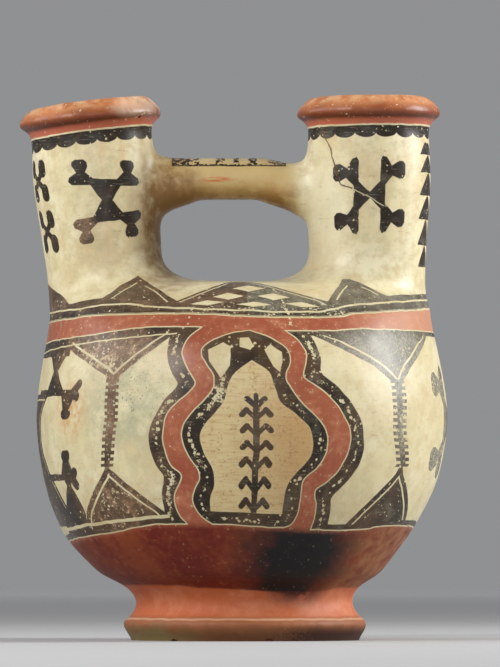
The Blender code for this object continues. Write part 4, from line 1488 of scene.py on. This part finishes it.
# The panel of the plant is tanned, most of all at its lower right
panel_tint = brushed(least(in_panel, KEYHOLE_TOP - height), 3.0)
ground = washed(ground, PANEL_TAN, panel_tint * 0.85)
lower_right = soft_spot(belly_chart, 34, 108, 34, 50) * 1.2 + (mottle - 0.5) * 0.8
ground = washed(ground, PANEL_BROWN, least(panel_tint, lower_right, 0.85))
print("nodes in the slip with its cream:", len(slip_tree.nodes))

# %% The bridge and the corners beside it
# The underside of the bridge and the feet of the spouts beside it are browner: a stain, and painted
# shade under the bar, darker towards its lower edge
above_gap, below_top = ramp(height, 222.0, 236.0), ramp(262.0 - height, -8.0, 2.0)
on_bridge = least(above_gap, below_top, ramp(abs(across + 3.0) * -1.0, -42.0, -30.0))
ground = washed(ground, BRIDGE_TAN, on_bridge * 0.85)
under_bridge = least(on_bridge, ramp(256.0 - height, 0.0, 16.0))
stained = ramp(mottle * 0.5 + stain_noise * 0.5, 0.26, 0.54)
ground = washed(ground, STAIN_AND_SHADE, under_bridge * stained)
# Along the lower edge of the bridge a darker brown is painted in mottled patches: painted shade under
# the bar.
below_bridge = least(on_bridge, ramp(248.0 - height, 0.0, 9.0)) * ramp(mottle, 0.26, 0.54)
ground = washed(ground, UNDERSIDE_SHADE, below_bridge * 0.75)
# The corner between the left neck and the bridge is painted darker brown in mottled patches: painted
# shade where the neck meets the bridge
corner = soft_spot(front_chart, -34.0, 230.0, 24.0, 52.0) * 2.0
corner = math("MULTIPLY", corner, ramp(mottle, 0.16, 0.62), clamp=True)
ground = washed(ground, CORNER_SHADE_BROWN, corner)
# The right neck has stayed pale there
pale_corner = soft_spot(front_chart, 52.0, 232.0, 17.0, 40.0) * 1.5
ground = washed(ground, PALE_CREAM, held(pale_corner) * 0.7)
# A smear of red lies across the middle of the bridge
smear = soft_spot(front_chart, -8.0, 251.8, 10.0, 1.9) * 1.6 * ramp(scratches, 0.36, 0.52)
ground = washed(ground, RED_SMEAR, held(smear))
print("nodes with the handled places:", len(slip_tree.nodes))

# %% Crazing, scratches and pits in the cream
ground = washed(ground, CRAZE_BROWN, crazing * ramp(stain_noise, 0.40, 0.62) * 0.35)
ground = washed(ground, SCRATCH, ramp(scratches, 0.62, 0.76) * ramp(chips, 0.44, 0.62) * 0.45)
ground = washed(ground, PANEL_SCRATCH, ramp(scratches, 0.48, 0.62) * panel_tint * 0.35)
ground = washed(ground, SCRATCH, ramp(grains, 0.66, 0.80) * 0.5)
# Greenish-grey and ochre blotches on the left
green_blotch = soft_spot(belly_chart, -66, 128, 40, 38) * ramp(mottle, 0.32, 0.62)
ground = washed(ground, GREEN_GREY, green_blotch * 1.1)
ochre_blotch = soft_spot(belly_chart, -106, 124, 18, 20) * ramp(chips, 0.36, 0.60)
ground = washed(ground, OCHRE_BLOTCH, ochre_blotch)
# Soot has caught in the pits there
pits = ramp(grains, 0.58, 0.70) * soft_spot(belly_chart, -62, 134, 40, 26)
ground = washed(ground, SOOT, pits * 1.3)
panel_pits = ramp(grains * 0.6 + chips * 0.4, 0.54, 0.64) * panel_tint
ground = washed(ground, PANEL_PIT, panel_pits * 0.7)
print("nodes with the worn cream:", len(slip_tree.nodes))

# %% The red of the bands and of the underbody
RED, DEEP_RED, PALE_RED = slips((149, 84, 58), (128, 54, 34), (194, 130, 98))
SHADED_UNDER_RED, UNDER_PALE = slips((98, 26, 5), (132, 62, 28))
UNDER_TAN, UNDER_SCRATCH = slips((146, 98, 62), (168, 110, 88))
SMOKE_AND_SHADE, BAND_END_RED = slips((12, 5, 3), (196, 146, 114))
red_mix = washed(RED, PALE_RED, ramp(chips * 0.5 + mottle * 0.5, 0.48, 0.68) * 0.55)
red_mix = washed(red_mix, DEEP_RED, ramp(patches, 0.45, 0.66) * 0.5)
under_pale = ramp(stain_noise * 0.7 + chips * 0.3, 0.45, 0.62) * 0.75
# The red of the underbody is painted very dark: its own deep red, and painted shade under the belly.
under_mix = washed(SHADED_UNDER_RED, UNDER_PALE, under_pale)
under_tan = ramp(round_belly, 58.0, 104.0) * ramp(mottle, 0.34, 0.60) * 0.8
under_mix = washed(under_mix, UNDER_TAN, under_tan)
under_scratches = ramp(scratches, 0.64, 0.74) * ramp(chips, 0.50, 0.62) * 0.35
under_mix = washed(under_mix, UNDER_SCRATCH, under_scratches)
# A dark cloud on the underbody: a cloud from the firing, and painted shade under the belly
smoke_and_shade = soft_spot(belly_chart, 43, 41, 66, 60) * 2.1 - 0.42 + (stain_noise + mottle - 1.0) * 0.8
smoke_and_shade = held(smoke_and_shade)
under_mix = washed(under_mix, SMOKE_AND_SHADE, smoke_and_shade)
red_mix = washed(red_mix, under_mix, brushed(red_below - 0.3, 4.0))
red_mix = washed(red_mix, ground, few_flecks * (0.9 - ramp(red_below, 0.0, 3.0) * 0.7))
hair_lines = ramp(scratches, 0.58, 0.70) * ramp(chips, 0.40, 0.60)
red_mix = washed(red_mix, DEEP_RED, hair_lines * ramp(above_underbody, -2.0, 2.0) * 0.6)
# At the right end the red band is painted paler
paler_band_end = ramp(round_belly, 60.0, 120.0) * brushed(red_band, 1.0) * 0.6
red_mix = washed(red_mix, BAND_END_RED, paler_band_end)
print("nodes with the reds:", len(slip_tree.nodes))

# %% The rims
RIM, RIM_BROWN, WORN_RIM = slips((186, 116, 72), (132, 72, 38), (222, 206, 178))
RIM_PAINTED_LIGHT, RIM_PAINTED_SHADE = slips((214, 166, 122), (112, 52, 28))
RIM_GROOVE_SHADOW, RIM_FOOT = slips((84, 38, 20), (172, 92, 68))
rim_mix = washed(RIM, RIM_BROWN, ramp(stain_noise, 0.46, 0.62) * 0.8)
# The upper part of the roll is painted lighter in mottled patches: a painted highlight where light
# falls on the lip.
painted_rim_light = ramp(mottle, 0.42, 0.62) * ramp(7.0 - below_rim, 0.0, 5.0) * 0.8
rim_mix = washed(rim_mix, RIM_PAINTED_LIGHT, painted_rim_light)
# The lower half of the roll is painted darker: painted shade where the lip turns under.
rim_mix = washed(rim_mix, RIM_PAINTED_SHADE, ramp(below_rim + mottle * 4.0, 5.8, 11.0) * 0.85)
# A painted shadow lies in the groove under the roll.
groove_shadow = least(ramp(below_rim, 9.0, 11.6), ramp(13.6 - below_rim, 0.0, 1.6))
rim_mix = washed(rim_mix, RIM_GROOVE_SHADOW, groove_shadow * 0.8)
rim_mix = washed(rim_mix, RIM_FOOT, ramp(below_rim, 12.2, 13.8))
# The left rim is worn pale on the side of the bridge
rim_chart = join(slip_tree, across, below_rim, 1.0)
worn_top = soft_spot(rim_chart, -50.0, 5.0, 20.0, 9.0) * 2.0 * ramp(mottle, 0.30, 0.56)
rim_mix = washed(rim_mix, WORN_RIM, held(worn_top) * 0.36)
rim_mix = washed(rim_mix, WORN_RIM, few_flecks * 0.8)
print("nodes with the rims:", len(slip_tree.nodes))

# %% The foot: its stem, its flange and the wavy edge where the red ends
WAVY_EDGE = ((-172, 29.5), (-94, 30.3), (-39, 28.8), (9, 27.7), (60, 26.6), (109, 28.7), (172, 29.0))
FLANGE_TOP, FLANGE_EDGE = 13.0, 11.8
SALMON, PALE_SALMON = slips((174, 90, 52), (206, 142, 110))
STEM_SMOKE_AND_SHADE, STEM_GRAIN = slips((70, 28, 18), (210, 150, 122))
FLANGE, FLANGE_SHADE_BROWN = slips((142, 86, 54), (84, 54, 28))
FLANGE_SOOT_AND_SHADE, FLANGE_HIGHLIGHT, OLIVE_FLANGE = slips((58, 30, 16), (206, 164, 130), (112, 96, 58))
below_wave = traced(round_belly, WAVY_EDGE) - height
foot_pale = ramp(stain_noise * 0.6 + mottle * 0.4, 0.46, 0.62) * 0.4
foot_mix = washed(SALMON, PALE_SALMON, foot_pale)
# The top of the stem is painted dark in mottled patches: the firing cloud running on, and painted shade
# under the belly.
stem_smoke_and_shade = soft_spot(belly_chart, 58, 30, 44, 13) * 1.6
stem_smoke_and_shade = math("MULTIPLY", stem_smoke_and_shade, ramp(mottle, 0.24, 0.50), clamp=True)
foot_mix = washed(foot_mix, STEM_SMOKE_AND_SHADE, stem_smoke_and_shade)
foot_mix = washed(foot_mix, STEM_GRAIN, ramp(grains, 0.60, 0.74) * 0.4)
# Towards its foot the flange is painted darker in mottled patches: painted shade where it turns under.
flange_shade = ramp(mottle * 0.4 - height * 0.05, -0.30, 0.06) * 0.8
flange_mix = washed(FLANGE, FLANGE_SHADE_BROWN, flange_shade)
olive_noise = mottle * 0.6 + chips * 0.4 - height * 0.035
olive_side = ramp(-10.0 - across, 0.0, 30.0) * ramp(olive_noise, 0.16, 0.36)
flange_mix = washed(flange_mix, OLIVE_FLANGE, olive_side * 0.9)
# Dark specks low on the flange, more of them to the right: soot in the grain, and painted shade where
# the flange turns under.
flange_soot_and_shade = ramp(across * 0.02 + grains, 0.95, 1.35) * ramp(9.0 - height, 0.0, 5.0)
flange_mix = washed(flange_mix, FLANGE_SOOT_AND_SHADE, flange_soot_and_shade)
# A painted highlight runs along the edge of the flange, mottled
flange_edge_highlight = line_along(height - FLANGE_EDGE, 1.8) * (0.4 + mottle * 0.8)
flange_mix = washed(flange_mix, FLANGE_HIGHLIGHT, flange_edge_highlight)
foot_mix = washed(foot_mix, flange_mix, brushed(FLANGE_TOP - height, 2.0))
print("nodes with the foot:", len(slip_tree.nodes))

# %% The black
BLACK, BROWN_BLACK = slips((38, 29, 18), (82, 62, 42))
GREY_WEAR_AND_SHEEN, BROWN_RUBBED, SCRAP_TAN = slips((142, 138, 120), (128, 102, 80), (172, 128, 92))
brown_black = ramp(stain_noise, 0.42, 0.60) * ramp(232.0 - height, 0.0, 60.0) * 0.8
black_mix = washed(BLACK, BROWN_BLACK, brown_black)
# The left triangles have rubbed through to the ground in scraps
scraps = ramp(chips * 0.6 + mottle * 0.4, 0.50, 0.58)
upper_scraps = soft_spot(belly_chart, -84, 154, 44, 20) * 1.4
scraps = scraps * (upper_scraps + soft_spot(belly_chart, -80, 74, 34, 18) * 0.7)
black_mix = washed(black_mix, SCRAP_TAN, math("MULTIPLY", scraps, 1.0, clamp=True))
# On the right, where the strong side light falls, the rubbed black is painted a paler grey: wear, and a
# painted sheen.
wear_and_sheen_mix = washed(BROWN_RUBBED, GREY_WEAR_AND_SHEEN, on_right)
speckle = ramp(grains * 0.7 + mottle * 0.3, 0.40, 0.60)
black_mix = washed(black_mix, wear_and_sheen_mix, rubbed * (0.35 + speckle * 0.65))
black_mix = washed(black_mix, GREY_WEAR_AND_SHEEN, hair_lines * 0.35)
print("nodes with the black:", len(slip_tree.nodes))

# %% All layers, from the ground up
painted = washed(ground, red_mix, brushed(least(red_belly, NECK_FOOT - height)))
painted = washed(painted, rim_mix, brushed(in_rim))
painted = washed(painted, foot_mix, brushed(below_wave, 1.2))
painted = washed(painted, black_mix, brushed(black) * (1.0 - flecks * 0.92))
print("nodes with all layers:", len(slip_tree.nodes))

# %% [markdown]
# ## The crack
# A crack runs down the right neck from below the rim, and from its lower end a pale filled one goes
# on. Both are a fraction of a millimetre wide, so they are drawn as strokes, like the pattern, with a
# brownish edge where dirt has crept in, and nothing is cut into the clay.

# %% The crack in the right neck
CRACK = (
    (-29.0, 277.4), (-22.6, 268.4), (-21.7, 264.0), (-19.4, 259.5), (-16.8, 250.5), (-15.6, 248.2),
    (-9.3, 246.2),
)
HEALED_CRACK = ((-9.3, 246.2), (0.5, 241.0), (8.0, 236.5))
CRACK_WIDTH, HEALED_WIDTH = 0.65, 0.5
CRACK_HALO, CRACK_DARK = slips((134, 100, 62), (64, 42, 26))
crack_chart = join(slip_tree, round_neck, height, 1.0)


def crack_along(points, width):
    """The distance inside a broken line on the front of the right neck."""
    spans = [stroke(crack_chart, start, end, width) for start, end in zip(points, points[1:])]
    return least(most(*spans), beyond_right * 20.0 - 10.0, -deep)


crack = crack_along(CRACK, CRACK_WIDTH)
crack_halo = brushed(crack + 0.4, 0.8) * ramp(chips, 0.42, 0.62) * 0.7
painted = washed(painted, CRACK_HALO, crack_halo)
painted = washed(painted, ground, brushed(crack_along(HEALED_CRACK, HEALED_WIDTH), 0.3) * 0.8)
painted = washed(painted, CRACK_DARK, brushed(crack, 0.3) * 0.9)
print("crack:", len(CRACK) + len(HEALED_CRACK) - 2, "spans")

# %% [markdown]
# ## Gloss and grain
# The slip was rubbed with a pebble until it shone softly, less so on the underbody and the foot.
# Where it has flaked it is dull. Grains, scratches and pits are only hundredths of a millimetre deep:
# no outline shows them, so bump is enough for them.

# %% The gloss and the grain of the slip
slip_shader = slip_tree.nodes["Principled BSDF"]
slip_shader.inputs["Specular IOR Level"].default_value = 0.36
# The underbody and the foot were burnished less
roughness = 0.30 + grains * 0.16 + flecks * 0.24 + ramp(red_below, -1.0, 4.0) * 0.22
# The relief keeps to the noises alone, because the renderer works it out three times over
pitted = brushed(fleck_size * FLECK_GROWTH - FLECK_LEAST - from_fleck, FLECK_EDGE)
slip_relief = grains * 0.05 + scratches * 0.05 + chips * 0.10 - pitted * 0.20
bump_sockets = {"Height": slip_relief, "Distance": 0.35 * MM, "Strength": 0.6}
bump = place(slip_tree, "ShaderNodeBump", {}, bump_sockets)
slip_tree.links.new(painted, slip_shader.inputs["Base Color"])
slip_tree.links.new(roughness.socket, slip_shader.inputs["Roughness"])
slip_tree.links.new(bump.outputs[0], slip_shader.inputs["Normal"])
print("nodes in the painted slip:", len(slip_tree.nodes))

# %% [markdown]
# ## Bare clay inside
# Inside the spouts and the belly nobody painted. The fired clay is brown-orange, dusty and matt, and
# a little darker in patches where it held something.

# %% The bare clay
bare_clay.use_nodes = True
bare_tree = bare_clay.node_tree
bare_place = place_in_mm(bare_tree)
bare_patches = noise_amount(bare_tree, bare_place, 14.0, 4.0, 0.6)
bare_grains = noise_amount(bare_tree, bare_place, 1.4, 3.0, 0.6)
BARE, BARE_DARK, BARE_DUST = slips((150, 96, 66), (104, 66, 46), (186, 140, 104))
bare_mix = paint_over(bare_tree, BARE, BARE_DARK, ramp(bare_patches, 0.40, 0.62))
bare_mix = paint_over(bare_tree, bare_mix, BARE_DUST, ramp(bare_grains, 0.56, 0.72) * 0.5)
bare_shader = bare_tree.nodes["Principled BSDF"]
bare_tree.links.new(bare_mix, bare_shader.inputs["Base Color"])
bare_shader.inputs["Roughness"].default_value = 0.85
bare_sockets = {"Height": bare_grains, "Distance": 0.3 * MM, "Strength": 0.5}
bare_bump = place(bare_tree, "ShaderNodeBump", {}, bare_sockets)
bare_tree.links.new(bare_bump.outputs[0], bare_shader.inputs["Normal"])
print("nodes in the bare clay:", len(bare_tree.nodes))

# %% [markdown]
# ## Smooth clay, sharp rims
# The wall is shaded smooth. Only the edges that the cutters left, at the sole and inside the mouths,
# are sharp.

# %% Shading
SHARP_ANGLE, WELD = radians(50), 0.01 * MM
mesh = bmesh.new()
mesh.from_mesh(pot.data)
bmesh.ops.remove_doubles(mesh, verts=mesh.verts, dist=WELD)
for face in mesh.faces:
    face.smooth = True
for edge in mesh.edges:
    edge.smooth = len(edge.link_faces) == 2 and edge.calc_face_angle(0.0) < SHARP_ANGLE
open_edges = sum(len(edge.link_faces) != 2 for edge in mesh.edges)
triangles = sum(len(face.verts) - 2 for face in mesh.faces)
mesh.to_mesh(pot.data)
mesh.free()
print("pot:", triangles, "triangles, open edges:", open_edges)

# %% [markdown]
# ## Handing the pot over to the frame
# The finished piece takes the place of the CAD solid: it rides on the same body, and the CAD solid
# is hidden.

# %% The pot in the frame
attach(pot, "root")
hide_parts(POT_NODE)

# %% [markdown]
# ## The studio
# A plain pale floor, an even surround and four soft lights: the key from the left in front, a strong
# one from the right that draws the right side nearly white, and weak ones from the left and in front.

# %% The floor and the surround
FLOOR_SIZE = 14.0
NEAR_TONE, FAR_TONE = (0.42, 0.42, 0.42, 1.0), (0.98, 0.99, 1.0, 1.0)
FLOOR_NEAR, FLOOR_FAR = 1.2, 5.0
SURROUND, SURROUND_STRENGTH = (0.93, 0.94, 0.96, 1.0), 0.30
floor_mesh = bpy.data.meshes.new("floor")
half = FLOOR_SIZE / 2
corners = [(-half, -half, 0), (half, -half, 0), (half, half, 0), (-half, half, 0)]
floor_mesh.from_pydata(corners, [], [(0, 1, 2, 3)])
floor = bpy.data.objects.new("floor", floor_mesh)
bpy.context.scene.collection.objects.link(floor)
floor_paint = bpy.data.materials.new("floor_paint")
floor_paint.use_nodes = True
floor_shader = floor_paint.node_tree.nodes["Principled BSDF"]
# Far off, where the lights don't reach, the floor is paler, and meets the surround without a line
floor_tree = floor_paint.node_tree
on_floor = place(floor_tree, "ShaderNodeTexCoord").outputs["Object"]
far_off = ramp(vector_math(floor_tree, "LENGTH", on_floor), FLOOR_NEAR, FLOOR_FAR)
floor_tone = paint_over(floor_tree, NEAR_TONE, FAR_TONE, far_off)
floor_tree.links.new(floor_tone, floor_shader.inputs["Base Color"])
floor_shader.inputs["Roughness"].default_value = 0.9
floor_mesh.materials.append(floor_paint)
world = bpy.data.worlds.new("studio")
bpy.context.scene.world = world
world.use_nodes = True
background = world.node_tree.nodes["Background"]
background.inputs[0].default_value, background.inputs[1].default_value = SURROUND, SURROUND_STRENGTH
print("floor:", FLOOR_SIZE, "m wide")

# %% The lights: (name, place, width, height, watts)
LIGHTS = (
    ("key", (-1.05, -1.10, 1.05), 0.5, 0.8, 20.0),
    ("right_side", (1.35, 0.05, 0.75), 0.5, 0.9, 28.0),
    ("left_side", (-1.30, 0.05, 0.80), 0.4, 0.8, 7.0),
    ("fill", (0.20, -1.90, 0.55), 0.9, 0.9, 6.0),
)
LIT_POINT = Vector((0.0, 0.0, 0.17))
for name, spot, wide, tall, watts in LIGHTS:
    data = bpy.data.lights.new(name, "AREA")
    data.shape, data.size, data.size_y, data.energy = "RECTANGLE", wide, tall, watts
    light = bpy.data.objects.new(name, data)
    light.location = spot
    light.rotation_euler = (LIT_POINT - Vector(spot)).to_track_quat("-Z", "Y").to_euler()
    bpy.context.scene.collection.objects.link(light)
print("lights:", [name for name, *_ in LIGHTS])

# %% [markdown]
# ## The camera
# The photograph was taken from far off with a long lens, from about the height of the foot and
# turned up a little: the mouths of the spouts are seen as flat lines.

# %% The camera
CAMERA_PLACE, CAMERA_AIM = Vector((0.010, -4.0, 0.045)), Vector((0.010, 0.0, 0.168))
FRAME_HEIGHT, SENSOR = 0.3658, 36.0
camera_data = bpy.data.cameras.new("camera")
camera_data.sensor_width = SENSOR
camera_data.lens = SENSOR * (CAMERA_AIM - CAMERA_PLACE).length / FRAME_HEIGHT
camera = bpy.data.objects.new("camera", camera_data)
camera.location = CAMERA_PLACE
camera.rotation_euler = (CAMERA_AIM - CAMERA_PLACE).to_track_quat("-Z", "Y").to_euler()
bpy.context.scene.collection.objects.link(camera)
bpy.context.scene.camera = camera
bpy.context.scene.view_settings.view_transform = "Standard"
print("lens:", round(camera_data.lens, 1), "mm")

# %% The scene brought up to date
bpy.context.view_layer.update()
